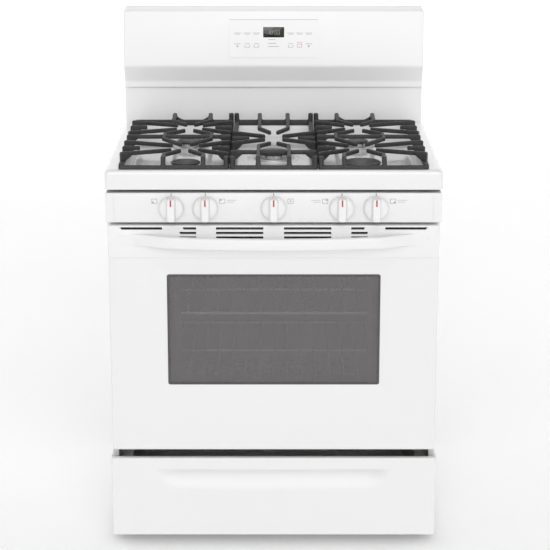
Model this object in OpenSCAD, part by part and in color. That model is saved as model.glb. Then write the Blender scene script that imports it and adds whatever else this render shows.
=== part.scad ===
// Freestanding gas range, 30 inch class.
// X runs to the right seen from the front, the front faces -Y, Z is up.
// The origin is on the floor, under the middle of the outer box.

/* [Overall size] */
// Width over the side panels
body_w = 759; // [740:1:775]
// Width of the cooktop
cooktop_w = 762; // [743:1:778]
// Depth from the rear face to the front of the door handle
total_d = 719; // [719:1:740]
// Height of the cooktop rim above the floor
cooktop_h = 914; // [910:1:925]
// Height of the top of the backguard
total_h = 1200; // [1190:1:1230]
// Thickness of the sheet steel
sheet = 1; // [0.8:0.1:1.2]

/* [Oven] */
// Inner width of the oven
oven_w = 610; // [590:1:610]
// Inner height of the oven
oven_in_h = 473; // [465:1:473]
// Inner depth of the oven
oven_d = 487; // [470:1:487]
// Distance from one rack guide to the next
guide_step = 52; // [50:1:52]
// Free gap between a rack and the back of the door
rack_free_y = 45; // [20:1:45]

/* [Door and drawer] */
// Width of the door
door_w = 752; // [740:1:755]
// Height of the underside of the door
door_z0 = 246; // [244:1:248]
// Height of the top of the door
door_z1 = 787; // [785:1:789]
// Thickness of the door
door_t = 40; // [38:1:41]
// How far the handle stands out from the door face
handle_reach = 59.5; // [59.5:0.5:62]
// Height of the underside of the drawer front
drawer_z0 = 32; // [30:1:40]
// Height of the top of the drawer front
drawer_z1 = 226; // [220:1:228]

/* [Burners and grates] */
// Height of the tops of the grates above the cooktop rim
grate_rise = 30; // [28:1:34]
// Depth of the spill basin
basin_depth = 24; // [20:1:26]
// Width of a grate finger
finger_w = 9; // [8:0.5:10]

/* [Controls] */
// Diameter of a knob
knob_d = 56; // [50:1:58]
// How far a knob stands out from the control panel
knob_depth = 32; // [28:1:34]
// How far a knob can be pushed in
push_travel = 3; // [2:0.5:3]

/* [Hidden] */
$fn = 48;
eps = 0.01;

burner_names = ["front_left", "rear_left", "centre", "rear_right", "front_right"];

// Planes from front to back
rear_y = total_d / 2;
face_y = -total_d / 2 + handle_reach;
panel_y = face_y - 2;
door_in_y = face_y + door_t;
body_y = door_in_y + 8;
guard_y = rear_y - 69.5;
skin_rear_y = rear_y - 2.5;

// Heights of the lower body
frame_z = 22;
frame_h = 30;
frame_flange = 35;
frame_front_y = body_y + 12;
frame_back_y = skin_rear_y - 12;
foot_x = body_w / 2 - 22;
foot_front_y = frame_front_y + 50;
foot_rear_y = frame_back_y - 50;
foot_r = 17;
foot_stem_r = 5;

// Oven
liner_t = 1;
oven_z0 = 272;
oven_z1 = oven_z0 + oven_in_h;
oven_y1 = body_y + oven_d;
plate_z = 300;
guide_z0 = 341.5;
guide_reach = 12;
guide_h = 6;
guide_count = 6;
blanket_side = 22;
blanket_top = 38;
front_open_w = 600;
front_open_z0 = plate_z;
front_open_z1 = 740;
bake_z = oven_z0 + 14;
bake_r = 11;
broil_z = oven_z1 - 23;
broil_r = 9;
lamp_x = -200;
lamp_z = 690;
lamp_r = 20;
probe_x = 200;
probe_z = 700;
probe_r = 2.4;
tube_hole_gap = 0.5;
lamp_hole_gap = 0.3;
probe_hole_gap = 0.2;

// Racks
rack_wire_r = 3.2;
rack_thin_r = 1.8;
rack_w = oven_w - 12;
rack_y0 = body_y + rack_free_y - 3;
rack_y1 = oven_y1 - 10;
rack_gap = 0.3;
rack_bars = 17;
lower_rack_guide = 1;
upper_rack_guide = 4;

// Cooktop
lip_z = cooktop_h - 45;
basin_x = 345;
basin_y0 = panel_y + 42;
basin_y1 = panel_y + 534;
basin_slope = 20;
basin_z = cooktop_h - basin_depth;
cooktop_t = 1.5;
lip_r = 12;

// Burners: place from the middle and from the front edge, and cap radius
function burner_x(i) = [-204, -204, 0, 204, 204][i];
function burner_y(i) = panel_y + [128, 378, 245, 378, 128][i];
function cap_r(i) = [34, 32, 38, 27, 44][i];
cap_t = 6.5;
cap_top_z = cooktop_h - 5;
cap_z = cap_top_z - cap_t;
head_gap = 0.3;

// Grates
grate_top_z = cooktop_h + grate_rise;
finger_h = 9.5;
grate_bar_w = 12;
grate_bar_z0 = cooktop_h + 0.5;
grate_bar_h = 12.5;
grate_front_h = 8.5;
grate_gap = 0.8;
grate_foot = 20;
grate_split_x = 100;
grate_end_x = 350;
grate_y0 = panel_y + 6;
grate_y1 = panel_y + 550;

// Control panel and knobs
panel_z0 = 793;
panel_z1 = 862;
panel_t = 1.5;
knob_z = 827;
function knob_x(i) = [-231, -154, 0, 154, 231][i];
knob_gap = push_travel + 0.6;
stem_r = 3;
stem_fit = 0.05;
grip_w = 20;
skirt_t = 7;

// Gas parts behind the panel
valve_w = 24;
valve_y0 = panel_y + 12;
valve_y1 = panel_y + 54;
rotor_r = 7.95;
rotor_bore_r = 8;
manifold_y = panel_y + 62;
manifold_r = 8;
tube_r = 4.76;
tube_z = cooktop_h - 52;
supply = [150, 290, 120];
regulator_x1 = 25.5;
inlet = [300, 0, 960];
inlet_r = 9;

// Door
trim_z0 = 711;
trim_t = 4.5;
slot_top_z = 780;
slot_step = 10.6;
slot_half_h = 3;
glass_w = 487;
glass_z0 = 407;
glass_z1 = 671;
glass_t = 4;
handle_z0 = 740;
handle_z1 = 768;
handle_t = 14;
handle_half = 352;
pivot_y = face_y + 21;
pivot_z = door_z0 + 18;
hinge_x = 340;
pin_r = 4;
pin_fit = 0.05;
arm_t = 4;
corner_cut = 7;

// Drawer
drawer_front_t = 36;
drawer_rim = 5;
scoop_half = 280;
scoop_top_z = 197;
scoop_z = 150;
scoop_depth = 20;
box_half = 335;
box_z0 = 62;
box_z1 = 205;
box_back_y = 170;
rail_z = 110;
rail_h = 22;

// Backguard
hood_z = 1060;
lip_low_z = 1003;
lip_high_z = 1020;
hood_y = guard_y - 33;
hood_lean = atan(14 / 140);
hood_top_y = hood_y + (total_h - hood_z) * tan(hood_lean);
guard_half = 377;
overlay_z = 1130;
overlay_w = 225;
overlay_h = 96;
display_w = 53;
display_h = 26;
display_up = 16;

// ---- Building blocks ----

// A box from its two corners
module block(low, high) {
    translate(low) cube(high - low);
}

// A box centred on X, of full width w
module slab(w, y0, y1, z0, z1) {
    block([-w / 2, y0, z0], [w / 2, y1, z1]);
}

// The same thing on the right and, mirrored, on the left
module both_sides() {
    children();
    mirror([1, 0, 0]) children();
}

// A round bar between any two points
module rod(a, b, r) {
    run = b - a;
    length = norm(run);
    translate(a)
        rotate([0, acos(run[2] / length), atan2(run[1], run[0])])
            cylinder(h = length, r = r);
}

// A pipe through a list of points, with ball corners
module pipe(points, r) {
    for (i = [0 : len(points) - 2])
        if (norm(points[i + 1] - points[i]) > r) rod(points[i], points[i + 1], r);
    for (i = [1 : 1 : len(points) - 2]) translate(points[i]) sphere(r = r);
}

// A rectangle with round corners, drawn in the X-Z plane and given a thickness in Y
module rounded_plate(w, z0, z1, r, y0, y1) {
    translate([0, y1, 0]) rotate([90, 0, 0]) linear_extrude(y1 - y0) {
        translate([-w / 2 + r, z0]) square([w - 2 * r, z1 - z0]);
        translate([-w / 2, z0 + r]) square([w, z1 - z0 - 2 * r]);
        for (x = [-w / 2 + r, w / 2 - r], z = [z0 + r, z1 - r]) translate([x, z]) circle(r = r);
    }
}

// A profile drawn in the Y-Z plane, given a full width in X
module profile_slab(points, w) {
    translate([-w / 2, 0, 0]) rotate([90, 0, 90]) linear_extrude(w) polygon(points);
}

// A flat bar in plan between two points
module bar_2d(a, b, w) {
    run = b - a;
    translate(a) rotate(atan2(run[1], run[0])) translate([0, -w / 2]) square([norm(run), w]);
    translate(b) circle(d = w + 0.8);
}

// A bent bar in plan through a list of points
module path_2d(points, w) {
    for (i = [0 : len(points) - 2]) bar_2d(points[i], points[i + 1], w);
}

// ---- Body ----

// Angle-iron frame that carries everything, with bosses for the feet
module base_frame() color("dimgray") difference() {
    union() {
        difference() {
            slab(body_w - 2 * sheet, frame_front_y, frame_back_y, frame_z, frame_z + frame_h);
            slab(body_w - 2 * sheet - 4, frame_front_y + 2, frame_back_y - 2,
                 frame_z + 2, frame_z + frame_h + 1);
            slab(body_w - 2 * frame_flange, frame_front_y + frame_flange,
                 frame_back_y - frame_flange, frame_z - 1, frame_z + 3);
        }
        both_sides() for (y = [foot_front_y, foot_rear_y])
            translate([foot_x, y, frame_z + 1]) cylinder(h = 12, r = 10);
    }
    both_sides() for (y = [foot_front_y, foot_rear_y])
        translate([foot_x, y, frame_z - 2]) cylinder(h = 20, r = foot_stem_r + 0.05);
}

// Four screw feet
module levelling_feet() color("black") both_sides() for (y = [foot_front_y, foot_rear_y])
    translate([foot_x, y, 0]) {
        cylinder(h = 6, r = foot_r);
        translate([0, 0, 6 - eps]) cylinder(h = 7, r = 9, $fn = 6);
        translate([0, 0, 13 - 2 * eps]) cylinder(h = 31, r = foot_stem_r);
    }

// The two painted sides, each folded inwards along its front edge
module side_panels() color("white") both_sides() {
    block([body_w / 2 - sheet, body_y, frame_z - 2], [body_w / 2, skin_rear_y, cooktop_h - 16]);
    block([body_w / 2 - 14, body_y - sheet, frame_z - 2],
          [body_w / 2, body_y + eps, panel_z0 - 6]);
}

// Galvanised rear cover with louvre slots; the lower end stays open for the gas connection
module rear_cover() color("silver") {
    cover_z0 = 240;
    louvre_w = 90;
    difference() {
        slab(body_w - 2 * sheet, skin_rear_y, skin_rear_y + sheet, cover_z0, cooktop_h - 17);
        for (row = [0 : 4], column = [-1.5 : 1 : 1.5])
            translate([column * 150, skin_rear_y - 1, 720 + row * 22])
                translate([-louvre_w / 2, 0, 0]) cube([louvre_w, 4, 6]);
        both_sides() for (z = [260 : 150 : 860])
            translate([body_w / 2 - 12, skin_rear_y - 1, z]) rotate([-90, 0, 0])
                cylinder(h = 4, r = 2.05);
    }
}

// Screws that hold the rear cover
module cover_screws() color("silver") both_sides() for (z = [260 : 150 : 860])
    translate([body_w / 2 - 12, skin_rear_y + sheet, z]) {
        rotate([-90, 0, 0]) cylinder(h = 1.5, r = 4.5);
        rotate([90, 0, 0]) cylinder(h = 9, r = 2);
    }

// ---- Oven ----

function guide_z(k) = guide_z0 + k * guide_step;

// Enamelled oven box, open at the front, with rack guides pressed into its sides
module oven_liner() color("darkslategray") {
    difference() {
        slab(oven_w + 2 * liner_t, body_y + sheet, oven_y1 + liner_t,
             oven_z0 - liner_t, oven_z1 + liner_t);
        slab(oven_w, body_y, oven_y1, oven_z0, oven_z1);
        flue_opening();
        rear_wall_hole(0, bake_z, bake_r + tube_hole_gap, 20);
        rear_wall_hole(0, broil_z, broil_r + tube_hole_gap, 20);
        rear_wall_hole(lamp_x, lamp_z, lamp_r + lamp_hole_gap, 20);
        rear_wall_hole(probe_x, probe_z, probe_r + probe_hole_gap, 20);
    }
    both_sides() for (k = [0 : guide_count - 1])
        block([oven_w / 2 - guide_reach, body_y + 20, guide_z(k) - guide_h],
              [oven_w / 2 + eps, oven_y1 - 8, guide_z(k)]);
}

// Cutter for a round hole through the rear wall of the oven
module rear_wall_hole(x, z, r, depth) {
    translate([x, oven_y1 - 5, z]) rotate([-90, 0, 0]) cylinder(h = depth, r = r);
}

// The way out of the oven into the flue
module flue_opening() {
    slab(120, oven_y1 - 45, oven_y1 - 15, oven_z1 - 5, oven_z1 + 10);
}

// Loose floor plate over the bake burner, folded down at both sides to stand on the liner
module oven_bottom_plate() color("darkslategray") {
    difference() {
        slab(oven_w - 8, body_y + 8, oven_y1 - 4, plate_z - 1.5, plate_z);
        both_sides() for (k = [0 : 3])
            block([oven_w / 2 - 30, body_y + 60 + k * 100, plate_z - 3],
                  [oven_w / 2 - 20, body_y + 130 + k * 100, plate_z + 1]);
    }
    both_sides() block([oven_w / 2 - 5.5, body_y + 8, oven_z0],
                       [oven_w / 2 - 4, oven_y1 - 4, plate_z - 1.5 + eps]);
}

// Glass-fibre blanket round the liner
module oven_insulation() color("khaki") difference() {
    slab(oven_w + 2 * liner_t + 2 * blanket_side, body_y + 2, oven_y1 + liner_t + 30,
         oven_z0 - liner_t - 20, oven_z1 + liner_t + blanket_top);
    slab(oven_w + 2 * liner_t, body_y, oven_y1 + liner_t, oven_z0 - liner_t, oven_z1 + liner_t);
    slab(126, oven_y1 - 50, oven_y1 - 10, oven_z1, oven_z1 + 60);
    for (hole = [[0, bake_z], [0, broil_z], [lamp_x, lamp_z], [probe_x, probe_z]])
        rear_wall_hole(hole[0], hole[1], lamp_r + 4, 60);
}

// Frame that the door closes on
module oven_front_frame() color("gray") difference() {
    slab(body_w - 28, body_y, body_y + sheet, door_z0 - 12, panel_z0 - 4);
    rounded_plate(front_open_w, front_open_z0, front_open_z1, 12, body_y - 1, body_y + 3);
    both_sides() block([hinge_x - 6, body_y - 1, pivot_z - 12], [hinge_x + 6, body_y + 2, pivot_z + 12]);
}

// Braided seal round the oven mouth
module door_gasket() color("dimgray") difference() {
    rounded_plate(front_open_w + 36, front_open_z0 - 9, front_open_z1 + 18, 28,
                  door_in_y + 0.4, body_y);
    rounded_plate(front_open_w + 20, front_open_z0 - 1, front_open_z1 + 10, 20,
                  door_in_y - 1, body_y + 1);
}

// Tube burner under the floor plate, and tube burner with a spreader under the roof
module oven_burners() color("silver") {
    rod([0, body_y + 30, bake_z], [0, oven_y1 + 20, bake_z], bake_r);
    rod([0, body_y + 60, broil_z], [0, oven_y1 + 20, broil_z], broil_r);
    slab(160, body_y + 70, oven_y1 - 70, broil_z + 8, broil_z + 9.5);
}

// Halogen lamp under a glass dome in the rear wall
module oven_lamp() color("lightyellow") translate([lamp_x, oven_y1, lamp_z]) rotate([90, 0, 0]) {
    translate([0, 0, -20]) cylinder(h = 20, r = lamp_r);
    cylinder(h = 3, r = lamp_r + 5);
    intersection() {
        sphere(r = lamp_r + 1);
        cylinder(h = 30, r = 30);
    }
}

// Temperature probe with its flange
module oven_sensor() color("silver") translate([probe_x, oven_y1, probe_z]) {
    block([-20, -1.5, -9], [20, 0, 9]);
    rod([0, -75, 0], [0, 25, 0], probe_r);
}

// Sheet duct from the roof of the oven to the slot under the backguard lip
module flue_duct() color("silver") {
    duct_y0 = guard_y + 8;
    duct_y1 = guard_y + 38;
    floor_z = oven_z1 + liner_t;
    difference() {
        union() {
            slab(122, oven_y1 - 46, oven_y1 - 14, floor_z, 835);
            slab(122, oven_y1 - 46, duct_y1, 805, 835);
            slab(122, duct_y0, duct_y1, 805, lip_high_z - 18);
        }
        slab(120, oven_y1 - 45, oven_y1 - 15, floor_z - 1, 834);
        slab(120, oven_y1 - 45, duct_y1 - 1, 806, 834);
        slab(120, duct_y0 + 1, duct_y1 - 1, 806, lip_high_z);
    }
}

// ---- Cooktop ----

// The basin as a tub with four sloped walls, grown by g on every side
module basin(g, z_top) {
    floor_z = basin_z - g;
    x0 = basin_x + g;
    x1 = basin_x - basin_slope + g;
    intersection() {
        translate([0, basin_y1 + g, 0]) rotate([90, 0, 0])
            linear_extrude(basin_y1 - basin_y0 + 2 * g)
                polygon([[-x1, floor_z], [x1, floor_z], [x0, z_top], [-x0, z_top]]);
        profile_slab([[basin_y0 + basin_slope - g, floor_z], [basin_y1 - basin_slope + g, floor_z],
                      [basin_y1 + g, z_top], [basin_y0 - g, z_top]], 2 * x0);
    }
}

// Enamelled top: sheet with a rolled front lip, side skirts and the sunk basin
module cooktop() color("white") {
    t = cooktop_t;
    top_profile = [[panel_y, lip_z], [panel_y, cooktop_h - lip_r],
                   for (a = [75 : -15 : 15])
                       [panel_y + lip_r - lip_r * sin(a), cooktop_h - lip_r + lip_r * cos(a)],
                   [panel_y + lip_r, cooktop_h], [guard_y, cooktop_h], [guard_y, lip_z]];
    difference() {
        union() {
            difference() {
                profile_slab(top_profile, cooktop_w);
                slab(cooktop_w - 2 * t, panel_y + t, guard_y + 1, lip_z - 1, cooktop_h - lip_r);
                slab(cooktop_w - 2 * t, panel_y + lip_r, guard_y + 1,
                     cooktop_h - lip_r - 1, cooktop_h - t);
                slab(cooktop_w + 2, body_y, guard_y + 1, lip_z - 1, cooktop_h - 34);
            }
            basin(t, cooktop_h);
        }
        basin(0, cooktop_h + eps);
        slab(2 * basin_x, basin_y0, basin_y1, cooktop_h - eps, cooktop_h + 5);
        for (i = [0 : 4]) translate([burner_x(i), burner_y(i), basin_z - 10])
            cylinder(h = 20, r = cap_r(i) - 9);
    }
}

// One aluminium head: crown above the basin floor, throat and orifice holder below it
module burner_head(i) {
    throat_r = cap_r(i) - 9.5;
    translate([burner_x(i), burner_y(i), 0]) difference() {
        union() {
            translate([0, 0, basin_z + 0.2])
                cylinder(h = cap_z - head_gap - basin_z - 0.2, r = cap_r(i) - 3);
            translate([0, 0, tube_z - 8]) cylinder(h = basin_z - tube_z + 9, r = min(throat_r, 24));
        }
        translate([0, 0, basin_z + 2]) cylinder(h = 40, r = cap_r(i) - 14);
        for (a = [0 : 30 : 330]) rotate(a) translate([cap_r(i) - 12, -1.5, cap_z - 5])
            cube([12, 3, 10]);
    }
}

module burner_heads() color("silver") for (i = [0 : 4]) burner_head(i);

// A cap with a locating ring that drops into its head
module burner_cap(i) color("black") translate([burner_x(i), burner_y(i), 0]) {
    translate([0, 0, cap_z]) cylinder(h = cap_t - 2, r = cap_r(i));
    translate([0, 0, cap_top_z - 2 - eps]) cylinder(h = 2 + eps, r1 = cap_r(i), r2 = cap_r(i) - 2.5);
    translate([0, 0, cap_z - 4]) cylinder(h = 4 + eps, r = cap_r(i) - 15);
}

// Spark electrodes beside the heads, and glow bars beside the oven burners
module igniters() color("ivory") {
    for (i = [0 : 4]) translate([burner_x(i) + cap_r(i) + 5, burner_y(i), 0]) {
        translate([0, 0, basin_z + 0.1]) cylinder(h = 9, r = 3.5);
        translate([0, 0, basin_z + 9]) cylinder(h = 5, r = 1.2);
    }
    for (z = [oven_z0 + 8, oven_z1 - 30])
        block([22, -60, z], [34, 20, z + 14]);
}

// ---- Grates ----

// Plan paths of the fingers round one burner of a side grate, burner at the right-hand side.
// turn is +1 for the burner next to the front bar and -1 for the one next to the rear bar.
module burner_fingers_2d(centre, inner_x, outer_x, edge_y, turn) {
    for (side = [-1, 1]) {
        x = centre[0];
        y = centre[1];
        path_2d([[x + side * 45, edge_y], [x + side * 45, y - turn * 80],
                 [x + side * 12, y - turn * 34]], finger_w);
        side_x = side < 0 ? inner_x : outer_x;
        for (arm = [-1, 1])
            bar_2d([side_x, y + arm * 68], [x + side * 34, y + arm * 27], finger_w);
        bar_2d([side_x, y], [side_x - side * 32, y], finger_w);
    }
}

// Plan of the raised fingers of the right-hand grate
module side_fingers_2d() {
    inner_x = grate_split_x + grate_gap + grate_bar_w / 2;
    outer_x = grate_end_x - grate_bar_w / 2;
    front = [burner_x(4), burner_y(4)];
    rear = [burner_x(3), burner_y(3)];
    middle_y = panel_y + 262;
    burner_fingers_2d(front, inner_x, outer_x, grate_y0 + grate_bar_w / 2, 1);
    burner_fingers_2d(rear, inner_x, outer_x, grate_y1 - grate_bar_w / 2, -1);
    bar_2d([inner_x, middle_y], [outer_x, middle_y], finger_w);
    for (side = [-1, 1])
        path_2d([[front[0] + side * 13, rear[1] - 44], [front[0] + side * 56, middle_y + 28],
                 [front[0] + side * 56, middle_y - 28], [front[0] + side * 13, front[1] + 40]], finger_w);
}

// Plan of the raised fingers of the centre grate
module centre_fingers_2d() {
    side_x = grate_split_x - grate_gap - grate_bar_w / 2;
    y = burner_y(2);
    cross_y = panel_y + 80;
    for (side = [-1, 1]) {
        path_2d([[side * 35, grate_y0 + grate_bar_w / 2], [side * 35, y - 98],
                 [side * 10, y - 66]], finger_w);
        path_2d([[side * 35, grate_y1 - grate_bar_w / 2], [side * 35, y + 118],
                 [side * 10, y + 66]], finger_w);
        for (arm = [-1, 1])
            bar_2d([side * side_x, y + arm * 62], [side * 24, y + arm * 20], finger_w);
        bar_2d([side * side_x, y], [side * (side_x - 32), y], finger_w);
    }
    bar_2d([-side_x, cross_y], [side_x, cross_y], finger_w);
}

// Plan of a rectangular ring, w wide, round one grate
module grate_ring_2d(x0, x1, w) difference() {
    translate([x0, grate_y0]) square([x1 - x0, grate_y1 - grate_y0]);
    translate([x0 + w, grate_y0 + w]) square([x1 - x0 - 2 * w, grate_y1 - grate_y0 - 2 * w]);
}

// One grate: low frame, raised fingers and, where a finger reaches the frame, a foot under it.
// The children are the plan of its fingers.
module grate(x0, x1) color("black") {
    translate([0, 0, grate_bar_z0]) linear_extrude(grate_front_h) grate_ring_2d(x0, x1, grate_bar_w);
    translate([0, 0, grate_bar_z0]) linear_extrude(grate_bar_h) difference() {
        grate_ring_2d(x0, x1, grate_bar_w);
        translate([x0 + grate_bar_w, grate_y0 - 1])
            square([x1 - x0 - 2 * grate_bar_w, grate_bar_w + 2]);
    }
    translate([0, 0, grate_top_z - finger_h]) linear_extrude(finger_h) children();
    translate([0, 0, grate_bar_z0 + 1]) linear_extrude(grate_top_z - grate_bar_z0 - 2)
        intersection() {
            grate_ring_2d(x0, x1, grate_foot);
            children();
        }
}

module grate_right() grate(grate_split_x + grate_gap, grate_end_x) side_fingers_2d();

module grate_left() mirror([1, 0, 0]) grate_right();

module grate_centre() grate(-grate_split_x + grate_gap, grate_split_x - grate_gap) centre_fingers_2d();

// ---- Gas parts ----

// Manifold behind the panel, fed by a pipe that climbs the right-hand rear corner
module gas_manifold() color("silver") {
    riser_x = body_w / 2 - 15;
    riser_y = supply[1];
    rod([-300, manifold_y, knob_z], [riser_x, manifold_y, knob_z], manifold_r);
    pipe([[riser_x, manifold_y, knob_z], [riser_x, riser_y, knob_z],
          [riser_x, riser_y, supply[2]], [supply[0] + regulator_x1, riser_y, supply[2]]], 6.5);
    translate([riser_x, manifold_y, knob_z]) sphere(r = manifold_r);
}

// Brass-bodied valves on the manifold, each bored for its stem
module burner_valves() color("goldenrod") for (i = [0 : 4]) translate([knob_x(i), 0, knob_z])
    difference() {
        block([-valve_w / 2, valve_y0, -valve_w / 2], [valve_w / 2, valve_y1 - 0.2, valve_w / 2 + 4]);
        translate([0, valve_y1 - 14, 0]) rotate([90, 0, 0]) cylinder(h = 100, r = rotor_bore_r);
    }

// Tubes from the valves to the burners
module burner_tubes() color("silver") for (i = [0 : 4]) {
    x = knob_x(i);
    bx = burner_x(i);
    by = burner_y(i) - min(cap_r(i) - 9.5, 24);
    pipe([[x, valve_y1 - 8, knob_z + valve_w / 2 + 4], [x, valve_y1 - 8, tube_z],
          [x, by - 12, tube_z], [bx, by - 12, tube_z], [bx, by, tube_z]], tube_r);
}

// Regulator low at the rear, with the threaded nipple for the supply line
module pressure_regulator() color("silver") translate(supply) {
    block([-28, -25, -22], [regulator_x1, 25, 22]);
    cylinder(h = 40, r = 20);
    rod([0, 24, 0], [0, 50, 0], 10.65);
}

// ---- Controls ----

// Control panel, folded back at all four edges, with a hole for each stem
module control_panel() color("white") difference() {
    union() {
        slab(body_w, panel_y, panel_y + panel_t, panel_z0, panel_z1);
        slab(body_w, panel_y, panel_y + 22, panel_z0, panel_z0 + panel_t);
        slab(body_w, panel_y, panel_y + 9, panel_z1 - panel_t, panel_z1);
        both_sides() block([body_w / 2 - panel_t, panel_y, panel_z0],
                           [body_w / 2, body_y, panel_z1]);
    }
    for (i = [0 : 4]) translate([knob_x(i), panel_y + 5, knob_z]) rotate([90, 0, 0])
        cylinder(h = 10, r = 5);
}

// Stem with the plug that turns inside the valve
module valve_stem(i) color("silver") translate([knob_x(i), 0, knob_z]) {
    rod([0, panel_y - 22, 0], [0, valve_y0 + 4, 0], stem_r);
    rod([0, valve_y0 + 4 - eps, 0], [0, valve_y1 - 14.5, 0], rotor_r);
}

// Turn-and-push knob: round skirt, upright grip bar, blind bore that slides on the stem
module knob(i) color("white") {
    back_y = panel_y - knob_gap;
    front_y = panel_y - knob_depth;
    translate([knob_x(i), 0, knob_z]) difference() {
        union() {
            rod([0, back_y - skirt_t, 0], [0, back_y, 0], knob_d / 2);
            rod([0, back_y - skirt_t - 5, 0], [0, back_y - skirt_t + eps, 0], knob_d / 2 - 4);
            intersection() {
                block([-grip_w / 2, front_y, -knob_d / 2], [grip_w / 2, back_y, knob_d / 2]);
                rod([0, front_y - 1, 0], [0, back_y, 0], knob_d / 2);
            }
        }
        rod([0, panel_y - 22 - push_travel - 0.5, 0], [0, back_y + 1, 0], stem_r + stem_fit);
    }
}

// ---- Backguard ----

// Side profile of the backguard, drawn in by g
function guard_profile(g) = [
    [guard_y + g, cooktop_h - 18 - 2 * g], [guard_y + g, lip_low_z + g],
    [guard_y - 9 + g, lip_low_z + g], [guard_y - 9 + g, lip_high_z + g * 0.4],
    [hood_y + g * 1.2, hood_z + g * 0.2], [hood_top_y + g, total_h - g],
    [skin_rear_y + sheet + g, total_h - g], [skin_rear_y + sheet + g, cooktop_h - 18 - 2 * g]
];

// Places its children on the leaning hood face at height z, facing -Y
module on_hood(z) {
    translate([0, hood_y + (z - hood_z) * tan(hood_lean), z]) rotate([-hood_lean, 0, 0]) children();
}

// Front skin, top and ends of the backguard
module backguard_shell() color("white") difference() {
    profile_slab(guard_profile(0), 2 * guard_half);
    profile_slab(guard_profile(sheet), 2 * guard_half - 2 * sheet);
    slab(300, guard_y - 7, guard_y - 1, lip_low_z - 2, lip_low_z + 4);
    on_hood(overlay_z) slab(display_w + 6, -5, 8, display_up - display_h / 2 - 3,
                            display_up + display_h / 2 + 3);
}

module backguard_rear() color("silver") difference() {
    slab(2 * guard_half, skin_rear_y + sheet, rear_y, cooktop_h - 16, total_h);
    translate([inlet[0], skin_rear_y - 5, inlet[2]]) rotate([-90, 0, 0]) cylinder(h = 20, r = inlet_r);
}

// Printed film on a carrier plate, with the display opening
module control_overlay() color("whitesmoke") on_hood(overlay_z) difference() {
    rounded_plate(overlay_w, -overlay_h / 2, overlay_h / 2, 5, -1.2, -0.01);
    slab(display_w, -3, 2, display_up - display_h / 2, display_up + display_h / 2);
}

module display_window() color("black") on_hood(overlay_z)
    slab(display_w - 0.4, -1, 1.5, display_up - display_h / 2 + 0.2, display_up + display_h / 2 - 0.2);

// Oven controller behind the overlay, and spark module beside the flue
module control_electronics() color("darkgreen") {
    on_hood(overlay_z) slab(170, 8, 34, -38, 38);
    block([190, 312, 930], [280, 346, 1000]);
}

// Cord gland in the rear cover of the backguard
module power_inlet() color("black") translate(inlet) difference() {
    union() {
        rod([0, skin_rear_y - 8, 0], [0, rear_y, 0], inlet_r);
        rod([0, skin_rear_y - 3, 0], [0, skin_rear_y + sheet, 0], inlet_r + 4);
    }
    rod([0, skin_rear_y - 9, 0], [0, rear_y + 1, 0], 4.5);
}

// ---- Door ----

// Side profile of the door body with its inner lower edge cut, drawn in by g
function door_profile(g) = [
    [face_y + g, door_z0 + g], [door_in_y - corner_cut - g / 2, door_z0 + g],
    [door_in_y - g, door_z0 + corner_cut + g / 2], [door_in_y - g, door_z1 - g], [face_y + g, door_z1 - g]
];

// Slots in the lower inner edge of the door that the hinge arms pass through
module hinge_slots(y_from) {
    both_sides() block([hinge_x - 4, y_from, door_z0 - 1], [hinge_x + 4, door_in_y + 1, pivot_z + 13]);
}

// Painted outer skin, folded back round all four edges
module door_outer_panel() color("white") difference() {
    profile_slab(door_profile(0), door_w);
    profile_slab(door_profile(sheet), door_w - 2 * sheet);
    slab(door_w + 2, door_in_y - sheet - 2, door_in_y + 1, door_z0 + corner_cut, door_z1 + 1);
    slab(door_w - 2 * sheet, door_in_y - corner_cut - 2, door_in_y + 1, door_z0 - 1, door_z0 + 20);
    rounded_plate(glass_w, glass_z0, glass_z1, 5, face_y - 1, face_y + 3);
    for (row = [0 : 2]) vent_slots(row, face_y - 2, face_y + 3);
    hinge_slots(pivot_y - 8);
}

// Outer window glass, held behind the skin
module door_window() color([0.3, 0.3, 0.3, 0.6])
    rounded_plate(glass_w + 24, glass_z0 - 12, glass_z1 + 12, 8,
                  face_y + sheet + 0.2, face_y + sheet + 0.2 + glass_t);

// Inner pane in the door liner
module door_inner_glass() color([0.6, 0.6, 0.6, 0.4])
    rounded_plate(454, glass_z0 - 4, glass_z1 + 4, 6,
                  door_in_y - sheet - 4.4, door_in_y - sheet - 0.2);

// Inner panel with a shallow plug that enters the oven mouth
module door_liner() color("darkslategray") difference() {
    union() {
        slab(door_w - 2 * sheet - 1, door_in_y - sheet, door_in_y,
             door_z0 + corner_cut + 1, door_z1 - 2);
        rounded_plate(front_open_w - 24, front_open_z0 + 14, front_open_z1 - 14, 14,
                      door_in_y - sheet, door_in_y + 8);
    }
    rounded_plate(front_open_w - 26, front_open_z0 + 15, front_open_z1 - 15, 13,
                  door_in_y - 2 * sheet, door_in_y - sheet + eps);
    difference() {
        rounded_plate(front_open_w - 26, front_open_z0 + 15, front_open_z1 - 15, 13,
                      door_in_y, door_in_y + 7);
        rounded_plate(470, glass_z0 - 12, glass_z1 + 12, 8, door_in_y - 1, door_in_y + 8);
    }
    rounded_plate(430, glass_z0 + 8, glass_z1 - 8, 5, door_in_y - 3, door_in_y + 9);
    hinge_slots(door_in_y - 5);
}

// Blanket between the skins, open at the window
module door_insulation() color("khaki") difference() {
    slab(2 * hinge_x - 40, face_y + 7, door_in_y - 7, door_z0 + 20, trim_z0 - 11);
    slab(glass_w + 33, face_y + 6, door_in_y - 6, glass_z0 - 18, glass_z1 + 18);
}

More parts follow.
